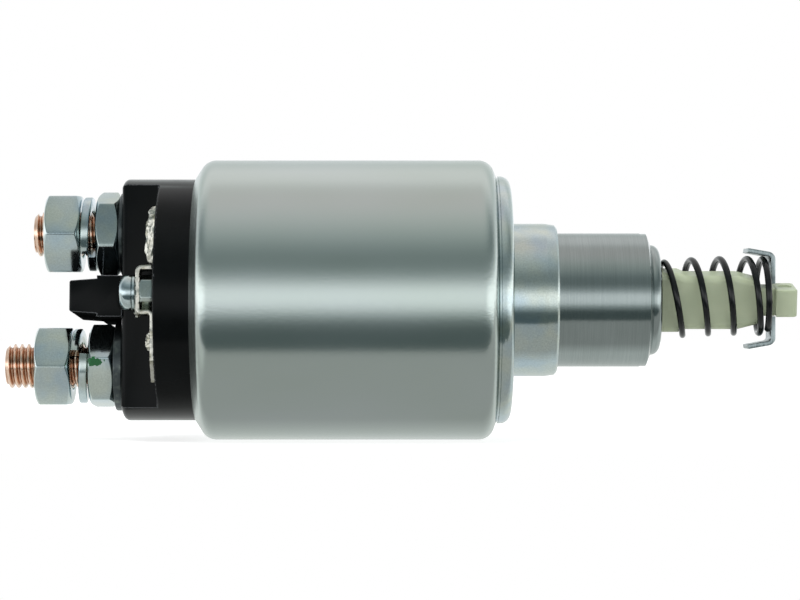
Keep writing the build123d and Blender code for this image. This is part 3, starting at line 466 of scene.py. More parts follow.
def enamelled_wire(colours):
    """Enamelled copper wire: deep red-brown under a clear glossy film."""
    material, tree, shader, position = new_finish("enamelled_wire")
    shade = patches(tree, position, 1.2, detail=2)
    base = shaded(tree, shade, colours.enamel, tinted(colours.enamel, "#C8703C", 0.45))
    dress(tree, shader, base, between(tree, shade, 0.25, 0.35), shade, 0.01,
          Metallic=0.6, Coat_Weight=0.8, Coat_Roughness=0.1)
    return material


def tinned_copper(colours):
    """Hot-dipped tin and solder: silvery, uneven, with flux stains in the hollows."""
    material, tree, shader, position = new_finish("tinned_copper")
    lumps = patches(tree, position, 0.8, detail=4)
    stain = patches(tree, position, 1.9, detail=3)
    base = shaded(tree, between(tree, stain, 0, 1, 0.5, 0.72),
                  colours.tin, tinted(colours.tin, "#7F7850", 0.6))
    dress(tree, shader, base, between(tree, lumps, 0.14, 0.32), lumps, 0.025, Metallic=1.0)
    return material


def dark_washer(colours):
    """Black-oxidised washer steel, rubbed paler in spots."""
    material, tree, shader, position = new_finish("dark_washer")
    wear = patches(tree, position, 1.4, detail=4)
    base = shaded(tree, between(tree, wear, 0, 1, 0.5, 0.75), colours.dark_steel,
                  tinted(colours.dark_steel, "#8A938A", 0.4))
    dress(tree, shader, base, between(tree, wear, 0.36, 0.28), wear, 0.012, Metallic=0.9)
    return material


def black_phenolic(colours):
    """Compression-moulded phenolic: deep glossy black, with a faint flow pattern from the mould and a
    painted highlight on its rounded edges, which are painted pale grey and made more metallic so that they
    shine."""
    material, tree, shader, position = new_finish("black_phenolic")
    flow = patches(tree, position, 6, detail=3)
    fine = patches(tree, position, 0.35, detail=2)
    base = shaded(tree, flow, colours.phenolic, tinted(colours.phenolic, "#15181A", 0.4))
    soft_normal = rounded_normal(tree, 0.34)
    edge = edge_highlight_share(tree, soft_normal)
    # Painted highlight: the edges are painted pale grey here and made more metallic below.
    base = shaded(tree, edge, base, tinted(colours.phenolic, "#A6A9AE", 0.8))
    dress(tree, shader, base, between(tree, flow, 0.17, 0.22), fine, 0.004, soft_normal,
          Specular_IOR_Level=0.1)
    tree.links.new(between(tree, edge, 0, 0.9, 0, 1), shader.inputs["Metallic"])
    return material


def phenolic_draft(colours):
    """Painted shade for the lower side of the barrier rib: a black, matt copy of the phenolic that mirrors
    nothing, so that this side stays dark when seen edge on.
    """
    material, tree, shader, position = new_finish("phenolic_draft")
    grain = patches(tree, position, 0.3, detail=2)
    base = shaded(tree, grain, colours.phenolic, tinted(colours.phenolic, "#2A2C2D", 0.5))
    dress(tree, shader, base, 0.6, grain, 0.02, Specular_IOR_Level=0.0)
    return material


def natural_nylon(title, base_colour, warm):
    """Moulded natural nylon: milky, slightly see-through, with a soft flow pattern."""
    material, tree, shader, position = new_finish(title)
    flow = patches(tree, position, 4, stretch=(3, 1, 1), detail=2)
    fine = patches(tree, position, 0.5, detail=2)
    base = shaded(tree, between(tree, flow, 0, 1), base_colour, tinted(base_colour, warm, 0.35))
    dress(tree, shader, base, between(tree, flow, 0.38, 0.46), fine, 0.012, IOR=1.53,
          Subsurface_Weight=0.25, Subsurface_Scale=0.0015, Subsurface_Radius=(1.0, 1.0, 0.75))
    return material


def pale_nylon(colours):
    """The pull rod's natural nylon, greenish with age."""
    return natural_nylon("pale_nylon", colours.natural_nylon, "#BFC7AC")


def moulded_nylon(colours):
    """The bobbin's glass-filled nylon, ivory."""
    return natural_nylon("moulded_nylon", colours.bobbin_nylon, "#BFB79C")


def insulating_laminate(colours):
    """Paper and phenolic laminate: brown, with fine layers along the axis."""
    material, tree, shader, position = new_finish("insulating_laminate")
    layers = patches(tree, position, 0.25, stretch=(1, 30, 30), detail=2)
    base = shaded(tree, layers, colours.laminate, tinted(colours.laminate, "#A87B4E", 0.6))
    dress(tree, shader, base, between(tree, layers, 0.45, 0.6), layers, 0.02, IOR=1.5)
    return material


def rubber_seal(colours):
    """Moulded nitrile rubber: matt black with a dusty bloom."""
    material, tree, shader, position = new_finish("rubber_seal")
    bloom = patches(tree, position, 2.5, detail=3)
    base = shaded(tree, between(tree, bloom, 0, 1), colours.rubber, tinted(colours.rubber, "#4A4A4A", 0.4))
    dress(tree, shader, base, between(tree, bloom, 0.6, 0.75), bloom, 0.03, IOR=1.52)
    return material


def marked_zinc(colours):
    """Bright zinc with a dab of green inspection paint across one corner of the nut."""
    material = bright_zinc(colours)
    material.name = "marked_zinc"
    tree = material.node_tree
    shader = found(tree, "BSDF_PRINCIPLED")
    zinc = shader.inputs["Base Color"].links[0].from_socket
    position = found(tree, "TEX_COORD").outputs["Object"]
    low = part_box("lower_lock_nut")[0]
    past_face, inside_corner, over_axis = 1.7 * MM, 0.4 * MM, 1.1 * MM
    dab = Vector((low.x + past_face, low.y + inside_corner, centre_of("lower_lock_nut")[1] + over_axis))
    away = add(tree, "ShaderNodeMapping", {"Vector": position, "Location": -dab})
    away = add(tree, "ShaderNodeVectorMath", {0: away, 1: (0.62, 1, 1.25)}, operation="MULTIPLY")
    reach = add(tree, "ShaderNodeVectorMath", {0: away}, output="Value", operation="LENGTH")
    ragged = patches(tree, position, 1.1, detail=3)
    raggedness, full, gone = 2.2 * MM, 2.35 * MM, 2.5 * MM
    edge = add(tree, "ShaderNodeMath", {0: ragged, 1: raggedness, 2: reach}, operation="MULTIPLY_ADD")
    painted = between(tree, edge, 1, 0, full, gone)
    tree.links.new(shaded(tree, painted, zinc, colours.paint), shader.inputs["Base Color"])
    tree.links.new(between(tree, painted, 1, 0, 0, 1), shader.inputs["Metallic"])
    return material


FINISHES = {made.__name__: made for made in (
    satin_zinc_can, bright_zinc, ground_iron, bare_iron, black_spring_steel, brass_tube, copper,
    enamelled_wire, tinned_copper, dark_washer, black_phenolic, pale_nylon, moulded_nylon,
    insulating_laminate, rubber_seal)}
made_finishes = {}


def finish(slot):
    """The material of a slot, made the first time it is asked for."""
    if slot not in made_finishes:
        made_finishes[slot] = FINISHES[slot](bpy.context.scene.finish_colours)
    return made_finishes[slot]


# Meshes

def rounded(corners):
    """The points of a closed outline from its (x, radius, rounding) corners, each rounded off."""
    points = []
    for index, (x, r, rounding) in enumerate(corners):
        here = Vector((x, r))
        if rounding <= 0:
            points.append(here)
            continue
        before = (Vector(corners[index - 1][:2]) - here).normalized()
        after = (Vector(corners[(index + 1) % len(corners)][:2]) - here).normalized()
        half = before.angle(after) / 2
        centre = here + (before + after).normalized() * rounding / sin(half)
        first = here + before * rounding / tan(half) - centre
        last = here + after * rounding / tan(half) - centre
        swing = pi - 2 * half
        for step in range(CORNER_STEPS + 1):
            turn = swing * step / CORNER_STEPS
            points.append(centre + (first * sin(swing - turn) + last * sin(turn)) / sin(swing))
    return points


def bridge_rings(maker, rings):
    """Joins each ring of vertices to the next, and the last to the first; a ring of one is a pole."""
    for near, far in zip(rings, rings[1:] + rings[:1]):
        count = max(len(near), len(far))
        if count == 1:
            continue
        for step in range(count):
            following = (step + 1) % count
            corners = [near[step % len(near)], near[following % len(near)],
                       far[following % len(far)], far[step % len(far)]]
            corners = [corner for place, corner in enumerate(corners) if corner not in corners[:place]]
            maker.faces.new(corners)


def plain_mesh(maker, title):
    """The mesh of a bmesh, which ends there."""
    mesh = bpy.data.meshes.new(title)
    maker.to_mesh(mesh)
    maker.free()
    return mesh


def mesh_from(maker, title):
    """The mesh of a bmesh, with its faces pointing outwards."""
    bmesh.ops.recalc_face_normals(maker, faces=maker.faces)
    return plain_mesh(maker, title)


def turned(title, outline, place, steps=TURNED_STEPS):
    """A mesh turned about a line along X through the (y, z) place, from a closed outline."""
    maker = bmesh.new()
    y, z = place
    on_axis = 0.001 * MM
    rings = []
    for x, r in outline:
        turns = [WHOLE_TURN * step / steps for step in range(steps if r > on_axis else 1)]
        rings.append([maker.verts.new((x, y + r * cos(turn), z + r * sin(turn))) for turn in turns])
    bridge_rings(maker, rings)
    return mesh_from(maker, title)


def washer_outline(low_x, high_x, outer_r, inner_r, edge):
    """The outline of a flat washer with rounded edges."""
    return rounded([(low_x, inner_r, edge / 2), (low_x, outer_r, edge),
                    (high_x, outer_r, edge), (high_x, inner_r, edge / 2)])


def nut_corners(flats, corner, turn):
    """Points (y, z) about a nut's axis, round a hexagon with rounded corners; turn 0 has one at -Y."""
    flat_steps = 14
    to_corner = 1 / cos(pi / 6)
    arcs = []
    for side in range(6):
        middle = pi - turn + side * pi / 3
        centre = Vector((cos(middle), sin(middle))) * (flats / 2 - corner) * to_corner
        arcs.append([
            centre + Vector((cos(middle + swing), sin(middle + swing))) * corner
            for swing in (-pi / 6, -pi / 12, 0, pi / 12, pi / 6)])
    points = []
    for arc, following in zip(arcs, arcs[1:] + arcs[:1]):
        points += arc
        points += [arc[-1].lerp(following[0], step / flat_steps) for step in range(1, flat_steps)]
    return points


def nut(node, flats, face_r, bore_r, corner, turn):
    """A hexagon nut with both faces chamfered by a cone, where its node is."""
    low_x, high_x = span_of(node)
    y, z = centre_of(node)
    bore_chamfer = 0.55 * MM
    slope = tan(radians(30))

    def profile(full):
        """The (depth, radius) steps of one end, from the bore out to a side this far from the axis."""
        cone_depth = (full - face_r) * slope
        return (bore_chamfer, bore_r), (0, bore_r + bore_chamfer), (0, face_r), (cone_depth, full)

    maker = bmesh.new()
    rings = []
    for face_x, inwards, order in ((low_x, 1, (0, 1, 2, 3)), (high_x, -1, (3, 2, 1, 0))):
        for step in order:
            ring = []
            for point in nut_corners(flats, corner, turn):
                depth, r = profile(point.length)[step]
                way = point.normalized()
                ring.append(maker.verts.new((face_x + inwards * depth, y + way.x * r, z + way.y * r)))
            rings.append(ring)
    bridge_rings(maker, rings)
    return mesh_from(maker, node)


def evaluated(host):
    """The plain mesh that an object's modifiers make; the object and its modifiers are removed."""
    graph = bpy.context.evaluated_depsgraph_get()
    mesh = bpy.data.meshes.new_from_object(host.evaluated_get(graph), depsgraph=graph)
    host.modifiers.clear()
    bpy.data.objects.remove(host)
    return mesh


def host_for(title, mesh):
    """An object in the scene that carries a mesh while its modifiers are worked out."""
    host = bpy.data.objects.new(title, mesh)
    bpy.context.scene.collection.objects.link(host)
    return host


def modified(title, mesh, kind, **settings):
    """The mesh that one modifier of this kind makes with these settings."""
    host = host_for(title, mesh)
    modifier = host.modifiers.new(kind.lower(), kind)
    for name, value in settings.items():
        setattr(modifier, name, value)
    return evaluated(host)


def softened(title, mesh, width, limit=EDGE_LIMIT):
    """The mesh with its sharp edges broken by this width."""
    return modified(title, mesh, "BEVEL", width=width, segments=2, limit_method="ANGLE",
                    angle_limit=limit, use_clamp_overlap=True)


def copied(node):
    """A clean copy of a node's mesh, with its loose triangles joined up into flat faces."""
    same_place = 0.002 * MM
    same_plane = radians(0.4)
    maker = bmesh.new()
    maker.from_mesh(frame["nodes"][node].data)
    bmesh.ops.remove_doubles(maker, verts=maker.verts, dist=same_place)
    bmesh.ops.dissolve_limit(maker, angle_limit=same_plane, verts=maker.verts, edges=maker.edges)
    return plain_mesh(maker, node)


def swapped_sides(mesh):
    """The mesh mirrored from its -Y side to its +Y side, with its faces still outwards."""
    for vert in mesh.vertices:
        vert.co.y = -vert.co.y
    mesh.flip_normals()
    return mesh


def hammered(title, mesh, grain, depth, size):
    """The mesh made anew with even faces of this grain, and its surface uneven by this depth."""
    mesh = modified(title, mesh, "REMESH", mode="VOXEL", voxel_size=grain)
    moves = [vert.normal * depth * noise.noise(vert.co / size) for vert in mesh.vertices]
    for vert, move in zip(mesh.vertices, moves):
        vert.co += move
    return mesh


def carved(title, mesh, cutter):
    """The mesh with another cut out of it."""
    tool = host_for(title + "_cutter", cutter)
    result = modified(title, mesh, "BOOLEAN", operation="DIFFERENCE", solver="EXACT", object=tool)
    bpy.data.objects.remove(tool)
    return result


def joined(title, meshes):
    """One mesh of several closed shells."""
    maker = bmesh.new()
    for mesh in meshes:
        maker.from_mesh(mesh)
    return mesh_from(maker, title)


def show(node, form, mesh, material=None, sharp=34, others=()):
    """Puts a finished mesh in place of a node, on its body, with its finish and any others that it has.
    The piece is named for the node and the form that it now has."""
    slot = slots[node]
    finishes = [material or finish(slot), *others]
    while len(mesh.materials) < len(finishes):
        mesh.materials.append(None)
    for place, dressed in enumerate(finishes):
        mesh.materials[place] = dressed
    mesh.shade_smooth()
    mesh.set_sharp_from_angle(angle=radians(sharp))
    shown = host_for(f"{node}_{form}", mesh)
    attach(shown, frame["nodes"][node]["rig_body"])
    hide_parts(node)
    return shown


# Node trees

def new_tree(title, numbers, counts):
    """A geometry tree that takes these numbers and counts, a place and a material, and its input sockets."""
    tree = bpy.data.node_groups.new(title, "GeometryNodeTree")
    inputs = {**dict.fromkeys(numbers, "Float"), **dict.fromkeys(counts, "Int"),
              "Place": "Vector", "Material": "Material"}
    for name, kind in inputs.items():
        tree.interface.new_socket(name, in_out="INPUT", socket_type="NodeSocket" + kind)
    tree.interface.new_socket("Geometry", in_out="OUTPUT", socket_type="NodeSocketGeometry")
    return tree, add(tree, "NodeGroupInput").node.outputs


def end_tree(tree, geometry, material):
    """Ends a tree in plain geometry with its material."""
    real = add(tree, "GeometryNodeRealizeInstances", {"Geometry": geometry})
    real = add(tree, "GeometryNodeSetMaterial", {"Geometry": real, "Material": material})
    add(tree, "NodeGroupOutput", {"Geometry": real})


def grown(tree, title, **values):
    """The mesh that a tree grows with these values on its named inputs."""
    host = host_for(title, bpy.data.meshes.new(title))
    modifier = host.modifiers.new(tree.name, "NODES")
    modifier.node_group = tree
    for item in tree.interface.items_tree:
        key = item.name.lower().replace(" ", "_")
        if item.in_out == "INPUT" and key in values:
            modifier[item.identifier] = values[key]
    return evaluated(host)


def about_axis(tree, turn, radius):
    """The two places across the axis of a point at this turn and radius."""
    return [
        add(tree, "ShaderNodeMath", {
            0: add(tree, "ShaderNodeMath", {0: turn}, operation=wave), 1: radius}, operation="MULTIPLY")
        for wave in ("COSINE", "SINE")]


def wound_wire_tree():
    """Wire or bar wound along a helix about a line along X, with ends that lie flat."""
    tree, given = new_tree("wound_wire", (
        "Turns", "First Angle", "Start", "Rise", "Flat Share", "Flat Rise", "Radius", "Width", "Thickness",
        "Corner"), ("Corner Steps", "Steps"))
    share = add(tree, "GeometryNodeSplineParameter", output="Factor")
    turned_so_far = add(tree, "ShaderNodeMath", {0: given["Turns"], 1: WHOLE_TURN}, operation="MULTIPLY")
    turn = add(tree, "ShaderNodeMath", {0: share, 1: turned_so_far, 2: given["First Angle"]},
               operation="MULTIPLY_ADD")
    rest = add(tree, "ShaderNodeMath", {0: 1.0, 1: given["Flat Share"]}, operation="SUBTRACT")
    two_flats = add(tree, "ShaderNodeMath", {0: given["Flat Rise"], 1: 2.0}, operation="MULTIPLY")
    open_rise = add(tree, "ShaderNodeMath", {0: given["Rise"], 1: two_flats}, operation="SUBTRACT")
    height = 0.0
    for rise, start, end in ((given["Flat Rise"], 0.0, given["Flat Share"]),
                             (open_rise, given["Flat Share"], rest), (given["Flat Rise"], rest, 1.0)):
        stretch = between(tree, share, 0.0, rise, start, end)
        height = add(tree, "ShaderNodeMath", {0: height, 1: stretch}, operation="ADD")
    height = add(tree, "ShaderNodeMath", {0: height, 1: given["Start"]}, operation="ADD")
    across, upwards = about_axis(tree, turn, given["Radius"])
    where = add(tree, "ShaderNodeCombineXYZ", {"X": across, "Y": upwards, "Z": height})
    line = add(tree, "GeometryNodeCurvePrimitiveLine")
    line = add(tree, "GeometryNodeResampleCurve", {"Curve": line, "Count": given["Steps"]})
    helix = add(tree, "GeometryNodeSetPosition", {"Geometry": line, "Position": where})
    helix = add(tree, "GeometryNodeSetCurveNormal", {"Curve": helix}, mode="Z_UP")
    section = add(tree, "GeometryNodeCurvePrimitiveQuadrilateral", {
        "Width": given["Width"], "Height": given["Thickness"]})
    section = add(tree, "GeometryNodeFilletCurve", {
        "Curve": section, "Count": given["Corner Steps"], "Radius": given["Corner"]}, mode="POLY")
    bar = add(tree, "GeometryNodeCurveToMesh", {
        "Curve": helix, "Profile Curve": section, "Fill Caps": True})
    bar = add(tree, "GeometryNodeTransform", {
        "Geometry": bar, "Rotation": (0, pi / 2, 0), "Translation": given["Place"]})
    end_tree(tree, bar, given["Material"])
    return tree


def rolled_thread_tree():
    """A threaded bar about a line along X, chamfered at its low end and closed at both."""
    crest_end, root_start = 0.09, 0.42
    tree, given = new_tree("rolled_thread", (
        "Length", "Radius", "Pitch", "Depth", "Chamfer"), ("Rows", "Steps"))
    grid = add(tree, "GeometryNodeMeshGrid", {
        "Size X": 1.0, "Size Y": 1.0, "Vertices X": given["Rows"], "Vertices Y": given["Steps"]})
    spot = add(tree, "GeometryNodeInputPosition")
    parts = add(tree, "ShaderNodeSeparateXYZ", {"Vector": spot}).node.outputs
    along = add(tree, "ShaderNodeMath", {0: parts["X"], 1: 0.5}, operation="ADD")
    round_share = add(tree, "ShaderNodeMath", {0: parts["Y"], 1: 0.5}, operation="ADD")
    last_row = add(tree, "ShaderNodeMath", {0: given["Rows"], 1: 1.0}, operation="SUBTRACT")
    row = add(tree, "ShaderNodeMath", {0: along, 1: last_row}, operation="MULTIPLY")
    inner_rows = add(tree, "ShaderNodeMath", {0: given["Rows"], 1: 2.0}, operation="SUBTRACT")
    height = between(tree, row, 0.0, given["Length"], 1.0, inner_rows)
    after_start = add(tree, "ShaderNodeMath", {0: row, 1: 0.5}, operation="GREATER_THAN")
    end_row = add(tree, "ShaderNodeMath", {0: last_row, 1: 0.5}, operation="SUBTRACT")
    before_end = add(tree, "ShaderNodeMath", {0: row, 1: end_row}, operation="LESS_THAN")
    inside = add(tree, "ShaderNodeMath", {0: after_start, 1: before_end}, operation="MULTIPLY")
    threads = add(tree, "ShaderNodeMath", {0: height, 1: given["Pitch"]}, operation="DIVIDE")
    phase = add(tree, "ShaderNodeMath", {0: threads, 1: round_share}, operation="SUBTRACT")
    saw = add(tree, "ShaderNodeMath", {0: phase}, operation="FRACT")
    wave = add(tree, "ShaderNodeMath", {0: saw, 1: 0.5}, operation="PINGPONG")
    flank = add(tree, "ShaderNodeMapRange", {
        "Value": wave, "From Min": crest_end, "From Max": root_start,
        "To Min": 0.0, "To Max": given["Depth"]}, interpolation_type="SMOOTHSTEP")
    crest = add(tree, "ShaderNodeMath", {0: given["Radius"], 1: flank}, operation="SUBTRACT")
    cone = add(tree, "ShaderNodeMath", {0: given["Radius"], 1: given["Chamfer"]}, operation="SUBTRACT")
    cone = add(tree, "ShaderNodeMath", {0: cone, 1: height}, operation="ADD")
    reach = add(tree, "ShaderNodeMath", {0: crest, 1: cone}, operation="MINIMUM")
    reach = add(tree, "ShaderNodeMath", {0: reach, 1: inside}, operation="MULTIPLY")
    turn = add(tree, "ShaderNodeMath", {0: round_share, 1: WHOLE_TURN}, operation="MULTIPLY")
    across, upwards = about_axis(tree, turn, reach)
    where = add(tree, "ShaderNodeCombineXYZ", {"X": height, "Y": across, "Z": upwards})
    bar = add(tree, "GeometryNodeSetPosition", {"Geometry": grid, "Position": where})
    bar = add(tree, "GeometryNodeMergeByDistance", {"Geometry": bar, "Distance": 0.0005 * MM})
    bar = add(tree, "GeometryNodeTransform", {"Geometry": bar, "Translation": given["Place"]})
    end_tree(tree, bar, given["Material"])
    return tree


def eased(value, start, end):
    """A smooth share from 0 at the start to 1 at the end."""
    share = min(max((value - start) / (end - start), 0), 1)
    return share * share * (3 - 2 * share)


def bowed(mesh, nose_x, top_x, rise, radius):
    """Bends a spring upwards outside the nose, to this rise at top_x; turns before it lean with it."""
    inside, outside = 2 * MM, 4 * MM
    for vert in mesh.vertices:
        share = eased(vert.co.x, nose_x - inside, nose_x + outside)
        past = vert.co.x - top_x
        vert.co.x += share * min(past, 0) * vert.co.z / radius
        vert.co.z += share * max(rise - past * past / (2 * radius), 0)


def spring(tree, node, turns, wire, first_angle=0.0, flat_turns=1.0, outer_r=None, bow=None):
    """A round-wire spring between the ends of its node, with a closed turn at each end."""
    steps_a_turn = 40
    round_corner = 0.4999 * wire
    low_x, high_x = span_of(node)
    outer_r = outer_r or radius_of(node)
    mesh = grown(
        tree, node + "_wire", turns=turns, first_angle=first_angle, start=low_x + wire / 2,
        rise=high_x - low_x - wire, flat_share=flat_turns / turns,
        flat_rise=flat_turns * wire * CLOSED_RISE, radius=outer_r - wire / 2, width=wire, thickness=wire,
        corner=round_corner, corner_steps=4, steps=ceil(turns * steps_a_turn), place=(0, 0, 0),
        material=finish(slots[node]))
    if bow:
        bowed(mesh, *bow)
    return show(node, "wire", mesh, sharp=50)


class SpringsOperator(bpy.types.Operator):
    """Winds the four springs"""
    bl_idname = "solenoid.springs"
    bl_label = "Springs"

    def execute(self, context):
        sizes = context.scene.spring_sizes
        tree = wound_wire_tree()
        low_x, high_x = span_of("lost_motion_spring")
        wire = sizes.lost_wire
        flat_rise = wire * CLOSED_RISE
        open_pitch = (high_x - low_x - wire - 2 * flat_rise) / (sizes.lost_turns - 2)
        turns_to_crest = 1 + (sizes.lost_crest - low_x - wire / 2 - flat_rise) / open_pitch
        visible = {
            "first_angle": pi - turns_to_crest * WHOLE_TURN,
            "outer_r": sizes.lost_radius,
            "bow": (span_of("plunger")[1], sizes.bow_top, sizes.lost_bow, sizes.bow_radius),
        }
        springs = [
            ("lost_motion_spring", sizes.lost_turns, wire, visible),
            ("return_spring", sizes.return_turns, sizes.return_wire, {}),
            ("contact_pressure_spring", sizes.pressure_turns, sizes.pressure_wire, {"flat_turns": 0.7}),
            ("contact_return_spring", sizes.switch_turns, sizes.switch_wire, {}),
        ]
        wound = {node: spring(tree, node, turns, thick, **more) for node, turns, thick, more in springs}
        seated_low, seated_high = 0, 1
        for node, joint, end in (
                ("lost_motion_spring", "rod_slide", seated_low),
                ("return_spring", "plunger_slide", seated_low),
                ("contact_pressure_spring", "bridge_slide", seated_high),
                ("contact_return_spring", "switch_pin_slide", seated_low)):
            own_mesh(wound[node])
        return {"FINISHED"}


class StudsOperator(bpy.types.Operator):
    """Rolls the threads of the two terminal studs"""
    bl_idname = "solenoid.studs"
    bl_label = "Terminal studs"

    def execute(self, context):
        sizes = context.scene.fastener_sizes
        tree = rolled_thread_tree()
        head_length, front_round, back_round = 4.0 * MM, 0.3 * MM, 0.5 * MM
        rows_a_pitch, steps_round = 14, 73
        for node in ("upper_stud", "lower_stud"):
            low_x, high_x = span_of(node)
            y, z = centre_of(node)
            head_r = radius_of(node)
            head_x = high_x - head_length
            thread = grown(
                tree, node + "_thread", length=head_x - low_x, radius=sizes.stud_radius,
                pitch=sizes.thread_pitch, depth=sizes.thread_depth, chamfer=sizes.stud_chamfer,
                rows=ceil((head_x - low_x) / sizes.thread_pitch * rows_a_pitch), steps=steps_round,
                place=(low_x, y, z), material=finish("copper"))
            head = turned(node + "_head", rounded([
                (head_x, 0, 0), (head_x, head_r, front_round), (high_x, head_r, back_round),
                (high_x, 0, 0)]), (y, z))
            show(node, "threaded", joined(node, [thread, head]), sharp=40)
        return {"FINISHED"}


class NutsOperator(bpy.types.Operator):
    """Makes the four large nuts and the small one"""
    bl_idname = "solenoid.nuts"
    bl_label = "Nuts"

    def execute(self, context):
        sizes = context.scene.fastener_sizes
        bore_r, small_bore_r = sizes.stud_radius + 0.05 * MM, 1.97 * MM
        large = (sizes.nut_flats, sizes.nut_face, bore_r, sizes.nut_corner)
        small = (sizes.control_flats, sizes.control_face, small_bore_r, sizes.nut_corner / 2)
        nuts = [
            ("upper_nut", large, 0.0, sizes.nut_edge),
            ("upper_lock_nut", large, sizes.lock_turn_upper, sizes.nut_edge),
            ("lower_nut", large, 0.0, sizes.nut_edge),
            ("lower_lock_nut", large, sizes.lock_turn_lower, sizes.nut_edge),
            ("control_nut", small, sizes.small_turn, sizes.nut_edge / 2),
        ]
        for node, shape, turn, edge in nuts:
            mesh = softened(node, nut(node, *shape, turn), edge, NUT_EDGE_LIMIT)
            material = marked_zinc(context.scene.finish_colours) if node == "lower_lock_nut" else None
            show(node, "hexagon", mesh, material)
        return {"FINISHED"}


class WashersOperator(bpy.types.Operator):
    """Makes the flat washers and the split spring washers"""
    bl_idname = "solenoid.washers"
    bl_label = "Washers"

    def execute(self, context):
        sizes = context.scene.fastener_sizes
        bore_r, small_bore_r, split_bore_r = 5.03 * MM, 2.03 * MM, 5.2 * MM
        largest_share = 0.4
        bores = {"upper_washer": bore_r, "lower_washer": bore_r, "control_washer": small_bore_r}
        for node, bore in bores.items():
            low_x, high_x = span_of(node)
            edge = min(sizes.washer_edge, (high_x - low_x) * largest_share)
            outline = washer_outline(low_x, high_x, radius_of(node), bore, edge)
            show(node, "ring", turned(node, outline, centre_of(node), WASHER_STEPS))
        tree = bpy.data.node_groups["wound_wire"]
        bar = sizes.spring_washer_bar
        ring_share, half_gap, corner, ring_steps = 0.985, radians(2.7), 0.35 * MM, 140
        for side, split in (("upper", sizes.split_upper), ("lower", sizes.split_lower)):
            node = side + "_spring_washer"
            low_x, high_x = span_of(node)
            outer_r = radius_of(node)
            mesh = grown(
                tree, node + "_bar", turns=-ring_share, first_angle=3 * pi / 2 - split - half_gap,
                start=low_x + bar / 2, rise=high_x - low_x - bar, flat_share=0.001, flat_rise=0.0,
                radius=(outer_r + split_bore_r) / 2, width=outer_r - split_bore_r, thickness=bar,
                corner=corner, corner_steps=3, steps=ring_steps, place=(0, *centre_of(side + "_stud")),
                material=finish("bright_zinc"))
            show(node, "bar", mesh)
        return {"FINISHED"}


def recess_slot(sizes, face_x, place, turn):
    """A bar that cuts one slot of the cross recess, from before the screw's face, narrowing inwards."""
    y, z = place
    lead, narrow_reach, narrow_width = 0.4 * MM, 0.42, 0.7
    maker = bmesh.new()
    for vert in bmesh.ops.create_cube(maker, size=1.0)["verts"]:
        deep = vert.co.x > 0
        along = vert.co.y * sizes.recess_reach * (narrow_reach if deep else 1.0)
        across = vert.co.z * sizes.recess_width * (narrow_width if deep else 1.0)
        vert.co = (face_x + (sizes.recess_depth if deep else -lead),
                   y + along * cos(turn) - across * sin(turn),
                   z + along * sin(turn) + across * cos(turn))
    return mesh_from(maker, "cross_recess")


def pan_head_screw(node, sizes):
    """The control screw: a rounded head with a cross recess, on a plain shank."""
    low_x, high_x = span_of(node)
    head_r, shank_r = radius_of(node), 1.95 * MM
    seat_x = span_of("control_washer")[0]
    crown, rim, tip, edge = 2.1 * MM, 0.2 * MM, 0.4 * MM, 0.06 * MM
    mesh = turned(node, rounded([
        (low_x, 0, 0), (low_x, head_r, crown), (seat_x, head_r, rim), (seat_x, shank_r, 0),
        (high_x, shank_r, tip), (high_x, 0, 0)]), centre_of(node))
    for turn in (sizes.recess_turn, sizes.recess_turn + pi / 2):
        mesh = carved(node, mesh, recess_slot(sizes, low_x, centre_of(node), turn))
    return softened(node, mesh, edge)


def solder(title, middle, half_mm, lump, floor_x, slump=0.0):
    """A lumpy bead of solder with these half sizes: blunt at its ends, uneven, thicker below by the
    slump's share, and flat where it lies on floor_x."""
    maker = bmesh.new()
    bmesh.ops.create_icosphere(maker, subdivisions=5, radius=1.0)
    for vert in maker.verts:
        out = vert.co.copy()
        swell = noise.noise(out * 2.6 + middle / (3 * MM))
        swell += 0.5 * noise.noise(out * 6.5 + middle / (2 * MM))
        bluntness = max(out.x * out.x + out.y * out.y, 0.001) ** -0.3
        thickness = 1.1 * bluntness * (1 - slump * (1 + out.z) / 2)
        place = Vector((out.x * thickness, out.y * bluntness, out.z)) * Vector(half_mm) * MM
        vert.co = middle + place + out * (swell - 0.3) * lump
        vert.co.x = min(vert.co.x, floor_x)
    return mesh_from(maker, title)


def tinned_strap(node, sizes):
    """The hand-bent strap, a little out of true, with the solder under the control terminal."""
    y, z = centre_of("control_screw")
    grain, ripple = 0.16 * MM, 1.6 * MM
    strap = hammered(node, copied(node), grain, sizes.strap_wave, ripple)
    inwards, down = 0.3 * MM, 3.9 * MM
    middle = Vector((span_of("control_washer")[1] + inwards, y, z - down))
    half_mm = (0.6, 2.4, 1.6)
    weld = solder("strap_weld", middle, half_mm, sizes.solder_lump * 0.7, span_of(node)[1])
    return joined(node, [strap, weld])


def solder_lug(node, lump):
    """The solder of a lead, as large as its node and flat on the face that carries it."""
    low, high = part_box(node)
    middle = Vector((high.x, (low.y + high.y) / 2, (low.z + high.z) / 2))
    half = (high - low) / 2
    return solder(node, middle, (half.x * 2 / MM, half.y / MM, half.z / MM), lump, high.x, slump=0.2)


class ControlTerminalOperator(bpy.types.Operator):
    """Makes the pan-head screw with its cross recess, the strap and the soldered lugs"""
    bl_idname = "solenoid.control_terminal"
    bl_label = "Control terminal"

    def execute(self, context):
        body = context.scene.body_sizes
        show("control_screw", "head", pan_head_screw("control_screw", context.scene.fastener_sizes))
        show("control_strap", "tinned", tinned_strap("control_strap", body))
        for node, lump_share in (("upper_solder_lug", 0.9), ("lower_solder_lug", 0.6)):
            show(node, "joint", solder_lug(node, body.solder_lump * lump_share), sharp=60)
        return {"FINISHED"}


